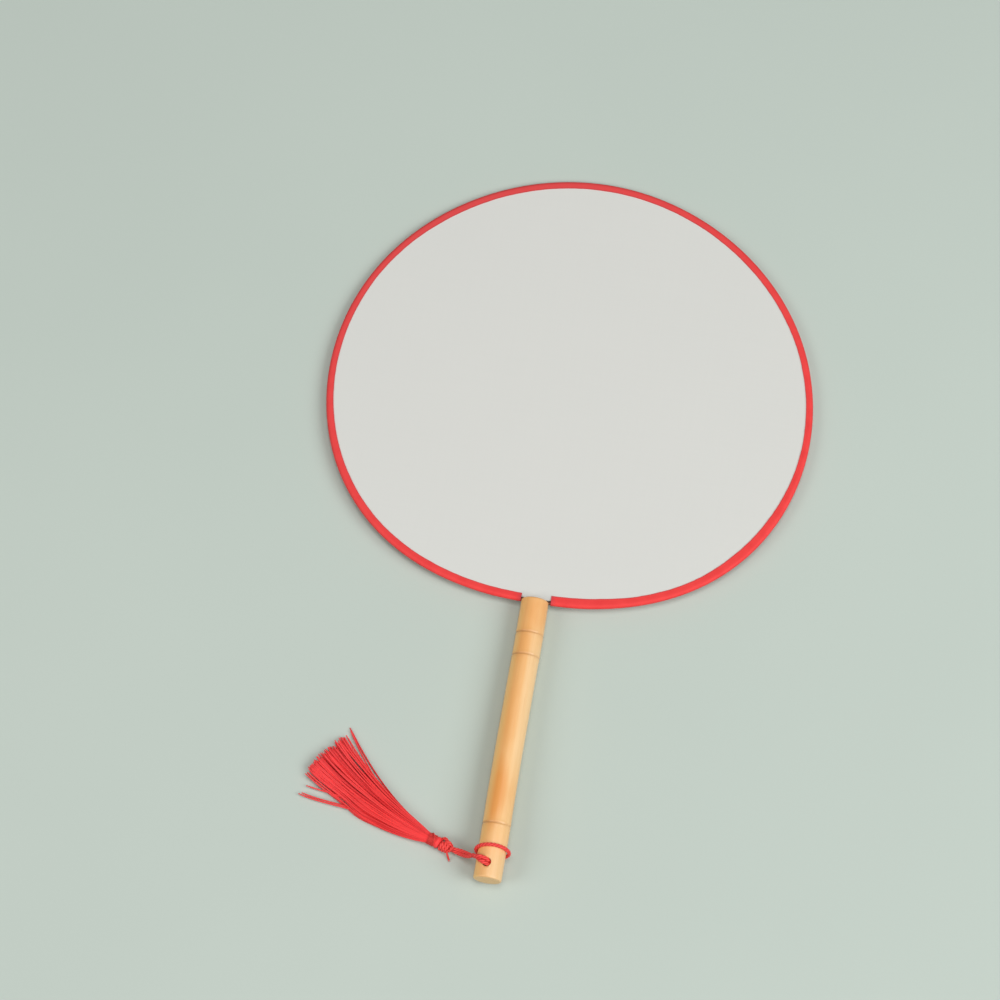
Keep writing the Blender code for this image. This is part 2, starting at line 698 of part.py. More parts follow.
def grow_thread(bm, face, u, v, number, table):
    """Extrudes one face of the root to a thread's end."""
    at_edge = abs(u) > 1 - 1.5 / SKIRT_COLUMNS
    stray = math.copysign(STRAY_SPREAD, u) * (1 + v) if at_edge and v < 0 else 0.0
    layer = round((v + 1) * SKIRT_LAYERS / 2 - 0.5)
    stagger = (layer % 2 - 0.5) / SKIRT_COLUMNS
    longer_share = THREAD_LENGTH_WANDER / SKIRT_LENGTH * wander(number, 1)
    slack_share = (1 - THREAD_FILL_SHARE) / 2 * THREAD_WANDER_SHARE
    for k in range(1, SKIRT_SEGMENTS + 1):
        along = k / SKIRT_SEGMENTS
        share = SKIRT_ROOT_SHARE + (1 - SKIRT_ROOT_SHARE) * along
        if k == SKIRT_SEGMENTS:
            share += longer_share
        width, height = skirt_size(share, u)
        pitch_y, pitch_z = width / SKIRT_COLUMNS, height / SKIRT_LAYERS
        place = skirt_place(share, u + stagger, v, table)
        place.y += pitch_y * slack_share * wander(number, k, 2) + stray * along**3
        place.z += pitch_z * slack_share * wander(number, k, 3)
        root = face.calc_center_median()
        face = bmesh.ops.extrude_discrete_faces(bm, faces=[face])["faces"][0]
        for vert in face.verts:
            half_y = math.copysign(pitch_y * THREAD_FILL_SHARE / 2, vert.co.y - root.y)
            half_z = math.copysign(pitch_z * THREAD_FILL_SHARE / 2, vert.co.z - root.z)
            vert.co = place + Vector((0, half_y, half_z))


for old in list(bpy.data.objects):
    bpy.data.objects.remove(old)
PARTS = bpy.data.collections.new("round_hand_fan")
CUTTERS = bpy.data.collections.new("cutters")
for group in (PARTS, CUTTERS):
    bpy.context.scene.collection.children.link(group)

BAMBOO = material("honey_bamboo", (0.75, 0.42, 0.16), 0.4)
SLIVER = material("split_bamboo", (0.70, 0.50, 0.26), 0.6)
STEEL = material("ring_steel", (0.35, 0.22, 0.16), 0.45, 0.8)
CLOTH = material("white_cloth", (0.80, 0.80, 0.78), 0.8)
TAPE = material("red_tape", (0.80, 0.06, 0.06), 0.6)
CORD = material("red_cord", (0.72, 0.04, 0.04), 0.6)
THREAD = material("red_thread", (0.78, 0.05, 0.05), 0.5)

# The far rim and the handle's upper end touch the table, so the butt is raised
far_touch = RIM_FOOT + LEAF_HEIGHT - RIM_ROUND_RADIUS
near_touch = HANDLE_LENGTH - TOP_ROUND
REST_TILT = math.atan((HANDLE_RADIUS - RIM_ROUND_RADIUS) / (far_touch - near_touch))
REST_HEIGHT = HANDLE_RADIUS * math.cos(REST_TILT) + near_touch * math.sin(REST_TILT)
REST_LENGTH = (RIM_FOOT + LEAF_HEIGHT) * math.cos(REST_TILT)

fan = bpy.data.objects.new("fan_rest", None)
PARTS.objects.link(fan)
fan.location = (0, -REST_LENGTH / 2, REST_HEIGHT)
fan.rotation_euler.x = -REST_TILT

tassel = bpy.data.objects.new("tassel_pivot", None)
PARTS.objects.link(tassel)
tassel.location = (KNOT_PLACE.x, KNOT_PLACE.y - REST_LENGTH / 2, KNOT_RADIUS + TABLE_GAP)
tassel.rotation_euler.z = TASSEL_HEADING
bpy.context.view_layer.update()

cord_pivot = bpy.data.objects.new("cord_pivot", None)
PARTS.objects.link(cord_pivot)
mouth = hole_frame() @ UP * (HANDLE_SEAT + DROP_CORD_RADIUS)
mouth.y = CORD_HOLE_PLACE
cord_pivot.matrix_world = fan.matrix_world @ Matrix.Translation(mouth)
bpy.context.view_layer.update()

make_handle(fan, BAMBOO)
make_ring_wire(fan, STEEL)
make_wedge("front_wedge", 1, fan, SLIVER)
make_wedge("back_wedge", -1, fan, SLIVER)
make_leaf_layer("leaf_front", 1, fan, CLOTH)
make_leaf_layer("leaf_back", -1, fan, CLOTH)
make_edge_tape(fan, TAPE)
make_hitch(fan, CORD)
make_drop_cord(cord_pivot, fan, tassel.matrix_world.translation.copy(), CORD)
make_cord_knot(tassel, CORD)
make_tassel_head(tassel, THREAD)
make_binding(tassel, CORD)
make_tail(tassel, CORD)
make_skirt(tassel, THREAD)
print(f"rest tilt {math.degrees(REST_TILT):.3f} deg, length at rest {REST_LENGTH * 1000:.2f} mm")
print("cord pivot", [round(x, 5) for x in cord_pivot.matrix_world.translation])
print("tassel pivot", [round(x, 5) for x in tassel.matrix_world.translation])
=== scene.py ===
"""The looks of a round hand fan: cloth leaf, folded tape, bamboo handle, cord and tassel.

The fan lies face up on a table. +Y runs along the handle from its butt to the
far rim, +Z is up, and lengths are in metres.
"""

import math
import random

import bmesh
import bpy
from mathutils import Matrix, Vector, noise


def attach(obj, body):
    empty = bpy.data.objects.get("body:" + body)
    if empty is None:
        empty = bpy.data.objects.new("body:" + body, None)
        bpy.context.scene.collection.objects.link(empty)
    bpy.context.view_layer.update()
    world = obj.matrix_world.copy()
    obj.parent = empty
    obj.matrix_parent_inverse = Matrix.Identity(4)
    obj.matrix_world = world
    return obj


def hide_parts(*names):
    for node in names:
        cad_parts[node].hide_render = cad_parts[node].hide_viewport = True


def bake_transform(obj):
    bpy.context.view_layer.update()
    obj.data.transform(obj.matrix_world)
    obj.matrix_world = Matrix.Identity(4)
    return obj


# Leaf, wire and tape; rim angles are 0 at the far rim and grow to the right
LEAF_WIDTH = 0.2455
LEAF_HEIGHT = 0.2327
OUTLINE_WAVES = (-0.020, -0.024, 0.015, -0.006, 0.003)
WIRE_RADIUS = 0.0009
FIT_GAP = 0.0003
RIM_ROUND = 0.0015
RIM_SEAT = 0.0017
RIM_POINTS = 240
CLOTH_THICKNESS = 0.00028
CLOTH_MIDDLE = 0.00075
CLOTH_INSET = 0.0025
CLOTH_RINGS = 26
CLOTH_WAVE = 0.00016
NOTCH_DEPTH = 0.004
TAPE_THICKNESS = 0.00024
TAPE_SIDE = 0.0036
TAPE_NEAR_LEFT = 0.0040
TAPE_NEAR_RIGHT = 0.0048
TAPE_FAR_MORE = 0.00045
TAPE_FAR_AT = 0.1
TAPE_THIN_LESS = 0.0004
TAPE_THIN_AT = 2.58
TAPE_EDGE_LIFT = 0.00122
TAPE_STATIONS = 560
TAPE_END_RIGHT = 0.0078
TAPE_END_LEFT = 0.0071
TAPE_END_INSET = 0.0003
TAPE_PUCKER = 0.00004
# The direction in which the tape's painted shade deepens, towards the far rim
TAPE_SHADE_DIRECTION = Vector((-0.566, 0.824, 0))

# Handle; places along it are counted from the butt
HANDLE_LENGTH = 0.1422
HANDLE_RADIUS = 0.0068
HANDLE_ROUND = 0.0008
HANDLE_SIDES = 96
HANDLE_UNEVEN = 0.010
NODES = (0.1242, 0.1127, 0.0271)
NODE_RIDGE = 0.00014
NODE_RIDGE_WIDTH = 0.0013
NODE_GROOVE = 0.00010
NODE_GROOVE_WIDTH = 0.00050
NODE_RING_WIDTH = 0.00065
NODE_SHADE_WIDTH = 0.0010
BOW = 0.00028
BOW_START = 0.0225
BOW_END = 0.1055
TOP_LEAN = 0.00016
TANG_SPACING = 0.003
TANG_BEND = 0.0024
TANG_LENGTH = 0.030
CUT_PAST = 0.002
SLOT_WIDTH = 0.018
HOLE_DRILL = 0.02
# Where the butt's paleness fades out, and where the right side's paleness, partly a painted highlight, is
# strongest
BUTT_PALE = (0.006, 0.027)
MIDDLE_PALE = 0.087
# Each stain's middle and reach in the handle's own frame, and its strength
HONEY_STAINS = (
    ((-0.0028, 0.0415, 0.0055), (0.0058, 0.021, 0.012), 0.85),
    ((-0.0034, 0.084, 0.0055), (0.0056, 0.020, 0.012), 0.2),
    ((-0.0034, 0.118, 0.0055), (0.0060, 0.012, 0.012), 0.25),
    ((0.0030, 0.134, 0.0055), (0.0070, 0.012, 0.012), 0.3),
)

# Cord
HOLE_PLACE = 0.0074
HOLE_TURN = math.radians(-14)
HOLE_RADIUS = 0.002225
LAY_LENGTH = 0.0052
PLY_SHARE = 0.57
CORD_ENDS = (0.95, 0.7, 0.35)
STRAND_RADIUS = 0.00085
STRAND_OFFSET = 0.001075
HITCH_RADIUS = 0.00095
HITCH_RISE = 0.0083
HITCH_CREST = math.radians(22)
HITCH_SAG = 0.0014
HITCH_ASIDE = 0.0002
HITCH_STEP = 0.00022
# The bight's points in the hole, in the hole's own frame
HITCH_IN_HOLE = (
    (STRAND_OFFSET, 0, 0.0009),
    (STRAND_OFFSET, 0, 0.0032),
    (STRAND_OFFSET, 0.0001, 0.0054),
    (0.0014, 0.0011, 0.0072),
)
# Degrees round the handle from its back, and how far the bight has climbed there
HITCH_CLIMB = ((12, 0.0026), (17, 0.0041), (27, 0.0053))
MOUTH_BEND = 0.0034
DROP_START = (0.0007, 0.0009)
DROP_RADIUS = 0.0015
DROP_WRAP = math.radians(55)
DROP_LEAN = 0.0027
DROP_IN_HOLE = 0.0065
DROP_CROSSED = 0.0056
# Across, along from the butt, and height
DROP_ROUTE = (
    (-0.0099, 0.0105, 0.0094),
    (-0.0128, 0.0116, 0.0063),
    (-0.0161, 0.0127, 0.0043),
)

# Tassel; its own frame has +X from the knot to the skirt's tips
KNOT_PLACE = Vector((-0.0203, 0.0137))
KNOT_HEIGHT = 0.0034
TASSEL_HEADING = math.radians(162.5)
KNOT_CORE = 0.0058
KNOT_TURNS = 2.45
KNOT_SEAT = 0.00238
KNOT_TUCK = 0.0009
# Along, distance from the axis, and turn, for the strand that crosses the knot
OVER_STRAND = (
    (0.0004, 0.0014, 2.6),
    (0.0009, 0.0026, 2.3),
    (0.0022, 0.0029, 2.35),
    (0.0036, 0.0031, 2.75),
    (0.0047, 0.0031, 3.1),
    (0.0056, 0.0024, 3.3),
    (0.0062, 0.0013, 3.4),
)
HEAD_START = 0.0053
HEAD_FLUTES = 33
# Along the folded threads from their start, and their radius there
HEAD_OUTLINE = (
    (0, 0.0010),
    (0.0003, 0.0019),
    (0.0009, 0.0026),
    (0.0017, 0.0029),
    (0.0025, 0.0026),
    (0.0032, 0.0022),
    (0.0054, 0.0021),
)
WAIST_START = 0.0079
WAIST_END = 0.01186
WAIST_RADIUS = 0.0022
BINDING_RADIUS = 0.00031
BINDING_TURNS = 6
BINDING_LAY = 0.0016
BINDING_SEAT = 0.00018
BINDING_INSET = 0.0002
SKIRT_LENGTH = 0.0665
SKIRT_WIDTH = 0.0290
SKIRT_HEIGHT = 0.0046
SKIRT_BEND = 0.0133
SKIRT_SWELL = 0.0011
SKIRT_CLUMPS = 11
SKIRT_GATHER = 0.45
SKIRT_SHORTER = 0.027
SKIRT_DENT = 0.17
ROOT_WIDTH = 0.0046
ROOT_HEIGHT = 0.0042
ROOT_HIDDEN = 0.03
THREADS = 170
THREAD_RADIUS = 0.00037
THREAD_STATIONS = 22
THREAD_LIFT = THREAD_RADIUS + 0.0001 - KNOT_HEIGHT
GOLDEN_TURN = 2.39996
# Each stray's tip, the share of its length where it leaves, its side, and its tint; the darkest tint, on
# the stray along the upper edge, is a painted shade
STRAYS = (
    (0.0780, 0.0087, 0.52, 0.60, 0.6),
    (0.0768, 0.0076, 0.56, 0.60, 0.3),
    (0.0765, 0.0035, 0.73, 0.55, 0.8),
    (0.0713, -0.0318, 0.30, -0.98, 0.0),
    (0.0703, -0.0306, 0.50, -0.90, 0.5),
    (0.0800, -0.0050, 0.70, 0.20, 0.4),
)

# Camera and light, in the table's frame: +Y is up in the picture
PICTURE_TURN = math.radians(9.45)
PICTURE_BUTT = Vector((-0.00608, -0.19532, 0))
CAMERA_RISE = math.radians(70.5)
CAMERA_REACH = 1.5
CAMERA_VIEW = 2 * math.atan(1 / 6)
TABLE_HALF = 2.4
WORLD_LIGHT = (1.0, 0.985, 0.96, 1)
WORLD_STRENGTH = 0.116
BACKDROP = (0.47, 0.53, 0.49, 1)
# Name, place, diameter, watts and colour; all are aimed at the picture's middle
LAMPS = (
    ("window_side", (1.87, -0.93, 1.95), 1.95, 49.5, (0.965, 1.0, 1.0)),
    ("front_window", (0.97, -2.12, 3.06), 2.8, 14.3, (1.0, 0.995, 0.99)),
    ("ceiling", (0.03, -0.09, 2.37), 0.9, 15.8, (1.0, 0.995, 0.99)),
    ("left_wall", (-1.98, -0.88, 1.76), 1.5, 23.5, (1.0, 0.985, 0.97)),
)

X, Y, UP = Vector((1, 0, 0)), Vector((0, 1, 0)), Vector((0, 0, 1))


def unit_rim(angle):
    """The rim's outline before it is scaled; the angle is 0 at the far rim."""
    reach = 1 + sum(share * math.cos((k + 1) * angle) for k, share in enumerate(OUTLINE_WAVES))
    return reach * math.sin(angle), reach * math.cos(angle)


# Where the outline, the fan at rest, the knot and the hole lie
SAMPLES = [unit_rim(math.tau * i / 720) for i in range(720)]
RIM_SCALE_X = LEAF_WIDTH / 2 / max(x for x, y in SAMPLES)
RIM_SCALE_Y = LEAF_HEIGHT / (max(y for x, y in SAMPLES) - min(y for x, y in SAMPLES))
RIM_FOOT = HANDLE_LENGTH - RIM_SEAT
RIM_CENTRE = RIM_FOOT - RIM_SCALE_Y * min(y for x, y in SAMPLES)
HANDLE_REST = HANDLE_LENGTH - HANDLE_ROUND
REST_TILT = math.atan((HANDLE_RADIUS - RIM_ROUND) / (RIM_FOOT + LEAF_HEIGHT - RIM_ROUND - HANDLE_REST))
REST_HEIGHT = HANDLE_RADIUS * math.cos(REST_TILT) + HANDLE_REST * math.sin(REST_TILT)
REST_LENGTH = (RIM_FOOT + LEAF_HEIGHT) * math.cos(REST_TILT)
BUTT_Y = -REST_LENGTH / 2
FAN = Matrix.Translation((0, BUTT_Y, REST_HEIGHT)) @ Matrix.Rotation(-REST_TILT, 4, "X")
KNOT = Matrix.Translation((KNOT_PLACE.x, KNOT_PLACE.y + BUTT_Y, KNOT_HEIGHT))
TASSEL = KNOT @ Matrix.Rotation(TASSEL_HEADING, 4, "Z")
HOLE = Matrix.Translation((0, HOLE_PLACE, 0)) @ Matrix.Rotation(HOLE_TURN, 4, "Y")
TABLE = Matrix.Rotation(PICTURE_TURN, 4, "Z") @ Matrix.Translation(-PICTURE_BUTT)
TABLE = Matrix.Translation((0, BUTT_Y, 0)) @ TABLE


# Lines and bodies


def smooth(value, low, high):
    """0 below low, 1 above high, and an even rise between them."""
    share = min(1.0, max(0.0, (value - low) / (high - low)))
    return share * share * (3 - 2 * share)


def bell(value, width):
    """1 at zero, and less to both sides."""
    return math.exp(-((value / width) ** 2))


def rough(x, y, z):
    """A slow unevenness between -1 and 1."""
    return noise.noise(Vector((x, y, z)))


def rim_point(angle, inset=0.0):
    """A point of the rim's outline, moved inwards by inset, and the inward direction."""
    step = math.tau / 3600
    x, y = unit_rim(angle)
    ahead, behind = unit_rim(angle + step), unit_rim(angle - step)
    along = Vector(((ahead[0] - behind[0]) * RIM_SCALE_X, (ahead[1] - behind[1]) * RIM_SCALE_Y, 0))
    inward = Vector((along.y, -along.x, 0)).normalized()
    return Vector((x * RIM_SCALE_X, RIM_CENTRE + y * RIM_SCALE_Y, 0)) + inward * inset, inward


def catmull(route, steps):
    """Points spaced evenly along one smooth curve through the route's points."""
    ends = [route[0] * 2 - route[1], *route, route[-1] * 2 - route[-2]]
    dense = []
    for before, start, end, after in zip(ends, ends[1:], ends[2:], ends[3:]):
        for i in range(24):
            t = i / 24
            bend = (before * 2 - start * 5 + end * 4 - after) * t**2
            bend += (start * 3 - before - end * 3 + after) * t**3
            dense.append((start * 2 + (end - before) * t + bend) / 2)
    dense.append(route[-1].copy())
    return spaced(dense, steps)


def spaced(points, steps):
    """Points spaced evenly along straight runs between the given ones."""
    travelled = [0.0]
    for a, b in zip(points, points[1:]):
        travelled.append(travelled[-1] + (b - a).length)
    even, k = [], 0
    for i in range(steps + 1):
        target = travelled[-1] * i / steps
        while k < len(points) - 2 and travelled[k + 1] < target:
            k += 1
        share = (target - travelled[k]) / (travelled[k + 1] - travelled[k])
        even.append(points[k].lerp(points[k + 1], min(1.0, share)))
    return even


def run_length(points):
    return sum((b - a).length for a, b in zip(points, points[1:]))


def frames_along(points, up):
    """Across and up directions carried along a line with no twist."""
    frames = []
    for i, place in enumerate(points):
        along = (points[min(i + 1, len(points) - 1)] - points[max(i - 1, 0)]).normalized()
        up = (up - along * up.dot(along)).normalized()
        frames.append((place, along.cross(up), up))
    return frames


def put_in_order(bm):
    """Sorts the edges and faces by their corners, so that every run lists them alike."""
    bm.verts.index_update()
    count = len(bm.verts)

    def rank(item):
        corners = [vert.index for vert in item.verts]
        return min(corners) * count + max(corners)

    bm.edges.sort(key=rank)
    bm.faces.sort(key=rank)


def sweep(whole, frames, section, around=None, marks=None):
    """A closed body: a ring that is extruded from frame to frame.

    section(k) gives the ring's (across, up) pairs at frame k, and marks a
    value kept on the ring's points, for the finish to read. The body is made
    in a mesh of its own and then added to the whole.
    """
    bm = bmesh.new()
    uv = bm.loops.layers.uv.verify()
    mark = bm.verts.layers.float.new("mark")
    pairs = section(0)
    count = len(pairs)
    around = around or [j / count for j in range(count + 1)]
    ring = bmesh.ops.create_circle(bm, segments=count, radius=1)["verts"]
    edges = bm.edges[:]
    travelled = 0.0
    places = {}
    for k, (place, across, up) in enumerate(frames):
        if k:
            travelled += (place - frames[k - 1][0]).length
            pairs = section(k)
            grown = bmesh.ops.extrude_edge_only(bm, edges=edges)["geom"]
            fresh = {item for item in grown if isinstance(item, bmesh.types.BMVert)}
            ring = [next(e.other_vert(v) for e in v.link_edges if e.other_vert(v) in fresh) for v in ring]
            edges = [e for e in grown if isinstance(e, bmesh.types.BMEdge) and e.is_boundary]
        for j, (vert, (a, b)) in enumerate(zip(ring, pairs)):
            vert.co = place + across * a + up * b
            vert[mark] = marks[k] if marks else 0.0
            places[vert] = (j, travelled)
        if k:
            for face in [item for item in grown if isinstance(item, bmesh.types.BMFace)]:
                columns = [places[loop.vert][0] for loop in face.loops]
                wraps = max(columns) - min(columns) > 1
                for loop, j in zip(face.loops, columns):
                    loop[uv].uv = (around[count if wraps and j == 0 else j], places[loop.vert][1])
    first = {vert for vert, (j, far) in places.items() if far == 0.0 and len(vert.link_faces) < 4}
    start = [e for e in bm.edges if e.is_boundary and e.verts[0] in first and e.verts[1] in first]
    for loop in (start, edges):
        bmesh.ops.contextual_create(bm, geom=loop)
    bmesh.ops.recalc_face_normals(bm, faces=bm.faces)
    put_in_order(bm)
    single = bpy.data.meshes.new("single")
    bm.to_mesh(single)
    bm.free()
    if not whole.verts:
        whole.loops.layers.uv.new(single.uv_layers[0].name)
        whole.verts.layers.float.new("mark")
    whole.from_mesh(single)
    bpy.data.meshes.remove(single)


def finished(bm, name, finish, body=None, stands_for=(), at=None, sharp=35):
    """A mesh object at the origin, with its place in its mesh."""
    if at:
        bmesh.ops.transform(bm, matrix=at, verts=bm.verts)
    bmesh.ops.recalc_face_normals(bm, faces=bm.faces)
    mesh = bpy.data.meshes.new(name)
    bm.to_mesh(mesh)
    bm.free()
    mesh.shade_smooth()
    mesh.set_sharp_from_angle(angle=math.radians(sharp))
    mesh.materials.append(finish)
    piece = bpy.data.objects.new(name, mesh)
    bpy.context.scene.collection.objects.link(piece)
    if body:
        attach(piece, body)
    if stands_for:
        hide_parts(*stands_for)
    return piece


def cut_out(piece, cutter_bm, wall_finish, at):
    """Takes the cutter's space out of the piece; the new walls get their own finish."""
    cutter = finished(cutter_bm, "cutter", wall_finish, at=at)
    modifier = piece.modifiers.new("cut", "BOOLEAN")
    modifier.operation = "DIFFERENCE"
    modifier.solver = "EXACT"
    modifier.material_mode = "TRANSFER"
    modifier.object = cutter
    graph = bpy.context.evaluated_depsgraph_get()
    mesh = bpy.data.meshes.new_from_object(piece.evaluated_get(graph), depsgraph=graph)
    piece.modifiers.clear()
    old = piece.data
    piece.data = mesh
    bpy.data.meshes.remove(old)
    bpy.data.objects.remove(cutter)


def cut_box(piece, wall_finish, middle, size):
    """Cuts a box out of the piece; the box is given in the fan's own frame."""
    bm = bmesh.new()
    bmesh.ops.create_cube(bm, size=1)
    cut_out(piece, bm, wall_finish, FAN @ Matrix.Translation(middle) @ Matrix.Diagonal((*size, 1)))


def drill(piece, wall_finish, at, radius, length):
    """Cuts a round hole along the Z axis of at."""
    bm = bmesh.new()
    bmesh.ops.create_cone(bm, cap_ends=True, segments=48, radius1=radius, radius2=radius, depth=length)
    cut_out(piece, bm, wall_finish, at)


# Finishes


def new_finish(name, colour, roughness, **sockets):
    finish = bpy.data.materials.new(name)
    finish.use_nodes = True
    tree = finish.node_tree
    shader = tree.nodes["Principled BSDF"]
    shader.inputs["Base Color"].default_value = (*colour, 1)
    shader.inputs["Roughness"].default_value = roughness
    for socket, value in sockets.items():
        shader.inputs[socket.replace("_", " ")].default_value = value
    return finish, tree, shader


def add(tree, kind, **inputs):
    """A node with its settings and inputs; i0, i1 and i2 are inputs by number."""
    node = tree.nodes.new("ShaderNode" + kind)
    for name, value in inputs.items():
        linked = isinstance(value, bpy.types.NodeSocket)
        if hasattr(node, name) and not linked:
            setattr(node, name, value)
            continue
        number = name[1:]
        socket = node.inputs[int(number) if number.isdigit() else name.replace("_", " ")]
        if linked:
            tree.links.new(value, socket)
        else:
            socket.default_value = value
    return node


def coordinates(tree, kind):
    return add(tree, "TexCoord").outputs[kind]


def apart(tree, vector):
    return add(tree, "SeparateXYZ", i0=vector).outputs


def mark_of(tree):
    """The value that sweep kept on the points."""
    return add(tree, "Attribute", attribute_name="mark").outputs["Fac"]


def scaled(tree, source, scale, turn=0.0):
    """Coordinates turned about Z and stretched."""
    return add(tree, "Mapping", Vector=source, Rotation=(0, 0, turn), Scale=scale).outputs[0]


def fog(tree, place, scale, detail=3.0, roughness=0.5):
    return add(tree, "TexNoise", Vector=place, Scale=scale, Detail=detail, Roughness=roughness).outputs[0]


def bands(tree, place, scale, direction, distortion=0.0):
    wave = add(tree, "TexWave", Vector=place, Scale=scale, Distortion=distortion, bands_direction=direction)
    return wave.outputs[1]


def maths(tree, operation, a, b=0.0):
    return add(tree, "Math", operation=operation, i0=a, i1=b).outputs[0]


def vector_maths(tree, operation, a, b=(0, 0, 0), output=0):
    return add(tree, "VectorMath", operation=operation, i0=a, i1=b).outputs[output]


def span(tree, value, from_low, from_high, to_low, to_high):
    node = add(tree, "MapRange", i0=value, i1=from_low, i2=from_high, i3=to_low, i4=to_high)
    return node.outputs[0]


def mixed(tree, share, a, b):
    node = tree.nodes.new("ShaderNodeMix")
    node.data_type = "RGBA"
    for socket, value in ((node.inputs[0], share), (node.inputs[6], a), (node.inputs[7], b)):
        if isinstance(value, bpy.types.NodeSocket):
            tree.links.new(value, socket)
        elif isinstance(value, tuple):
            socket.default_value = (*value, 1)
        else:
            socket.default_value = value
    return node.outputs[2]


def relief(tree, shader, height, distance, strength=1.0):
    bump = add(tree, "Bump", Height=height, Distance=distance, Strength=strength)
    tree.links.new(bump.outputs[0], shader.inputs["Normal"])


def colour_of(tree, shader, colour):
    tree.links.new(colour, shader.inputs["Base Color"])


def roughness_of(tree, shader, value):
    tree.links.new(value, shader.inputs["Roughness"])


def bamboo_finish():
    """Varnished bamboo: long fibres, honey stains and brown node rings with a painted shade band beside
    each; the left side is deeper orange, partly tone and partly painted shade, and the right side is paler,
    partly tone and partly a painted highlight, with painted light along the left rim.
    """
    light, dark, orange_left_and_painted_shade = (0.935, 0.545, 0.222), (0.885, 0.445, 0.148), (0.86, 0.395, 0.12)
    pale_right_and_painted_light, butt_end, painted_light_left_rim = (0.96, 0.66, 0.35), (0.93, 0.605, 0.31), (0.98, 0.59, 0.20)
    streak, deep_fibre = (0.88, 0.45, 0.16), (0.68, 0.31, 0.10)
    honey, node_ring = (0.84, 0.335, 0.075), (0.55, 0.25, 0.085)
    varnish = {"Coat_Weight": 0.22, "Coat_Roughness": 0.36}
    finish, tree, shader = new_finish("varnished_bamboo", (0.8, 0.5, 0.2), 0.42, **varnish)
    place = coordinates(tree, "Object")
    fibre = fog(tree, scaled(tree, place, (1, 0.03, 1)), 1500, 4, 0.6)
    strand = fog(tree, scaled(tree, place, (1, 0.05, 1)), 380, 3)
    drift = fog(tree, scaled(tree, place, (1, 0.35, 1)), 95, 3, 0.55)
    across, along, _ = apart(tree, place)
    base = mixed(tree, span(tree, drift, 0.38, 0.66, 0, 1), light, dark)
    ragged = maths(tree, "ADD", across, span(tree, strand, 0.3, 0.7, -0.001, 0.001))
    # The left side is deeper orange, partly the bamboo's tone and partly a painted shade.
    base = mixed(tree, span(tree, ragged, -0.0045, 0.0016, 0.6, 0), base, orange_left_and_painted_shade)
    from_middle = maths(tree, "ABSOLUTE", maths(tree, "SUBTRACT", along, BUTT_Y + MIDDLE_PALE))
    at_middle = span(tree, from_middle, 0.022, 0.044, 0.85, 0.3)
    # The right side is paler, most of all near the middle, partly the bamboo's tone and partly a painted
    # highlight.
    right_paleness_and_light = maths(tree, "MULTIPLY", span(tree, ragged, 0.0002, 0.0032, 0, 1), at_middle)
    base = mixed(tree, right_paleness_and_light, base, pale_right_and_painted_light)
    at_butt = span(tree, along, BUTT_Y + BUTT_PALE[0], BUTT_Y + BUTT_PALE[1], 0.75, 0)
    at_butt = maths(tree, "MULTIPLY", at_butt, span(tree, across, -0.0025, 0.0020, 0.4, 1))
    base = mixed(tree, at_butt, base, butt_end)
    base = mixed(tree, span(tree, strand, 0.35, 0.7, 0, 0.25), base, streak)
    base = mixed(tree, span(tree, fibre, 0.5, 0.8, 0, 0.26), base, deep_fibre)
    for middle, reach, strength in HONEY_STAINS:
        away = vector_maths(tree, "SUBTRACT", place, FAN @ Vector(middle))
        away = vector_maths(tree, "DIVIDE", away, Vector(reach))
        away = vector_maths(tree, "LENGTH", away, output="Value")
        base = mixed(tree, span(tree, away, 0.45, 1.0, strength, 0), base, honey)
    # Painted light along the left rim, where the handle turns away from the lamps.
    base = mixed(tree, span(tree, across, -0.0060, -0.0032, 1, 0), base, painted_light_left_rim)
    # The node rings and their painted shade bands are darker on the left side, a painted shade.
    ring = maths(tree, "MULTIPLY", mark_of(tree), span(tree, across, -0.004, 0.006, 0.75, 0.35))
    colour_of(tree, shader, mixed(tree, ring, base, node_ring))
    roughness_of(tree, shader, span(tree, fibre, 0.3, 0.8, 0.34, 0.5))
    relief(tree, shader, fibre, 0.00004, 0.6)
    return finish


def end_grain_finish():
    """Sawn bamboo: pale ground with brown dots where the fibres end."""
    finish, tree, shader = new_finish("sawn_bamboo", (0.75, 0.5, 0.25), 0.7)
    place = coordinates(tree, "Object")
    dots = add(tree, "TexVoronoi", Vector=scaled(tree, place, (1, 0.05, 1)), Scale=1300)
    from_dot = dots.outputs["Distance"]
    ground = mixed(tree, fog(tree, place, 600), (0.96, 0.66, 0.35), (0.90, 0.56, 0.26))
    in_dot = span(tree, from_dot, 0.16, 0.3, 0.5, 0)
    colour_of(tree, shader, mixed(tree, in_dot, ground, (0.62, 0.33, 0.13)))
    relief(tree, shader, from_dot, 0.00005)
    return finish


def cloth_finish():
    """Thin white plain weave with a faint unevenness of its threads."""
    sound, slubbed, drifted = (0.692, 0.690, 0.658), (0.662, 0.663, 0.631), (0.677, 0.676, 0.646)
    finish, tree, shader = new_finish("white_plain_weave", (0.7, 0.7, 0.67), 0.85, Specular_IOR_Level=0.2)
    place = coordinates(tree, "Object")
    warp, weft = bands(tree, place, 420, "X", 0.6), bands(tree, place, 420, "Y", 0.6)
    along = fog(tree, scaled(tree, place, (1, 0.02, 1)), 900, 2)
    across = fog(tree, scaled(tree, place, (0.02, 1, 1)), 900, 2)
    slub = maths(tree, "ADD", along, across)
    base = mixed(tree, span(tree, slub, 0.8, 1.3, 0, 0.2), sound, slubbed)
    base = mixed(tree, span(tree, fog(tree, place, 22, 3), 0.35, 0.7, 0, 0.3), base, drifted)
    colour_of(tree, shader, base)
    relief(tree, shader, maths(tree, "MAXIMUM", warp, weft), 0.00002, 0.4)
    return finish


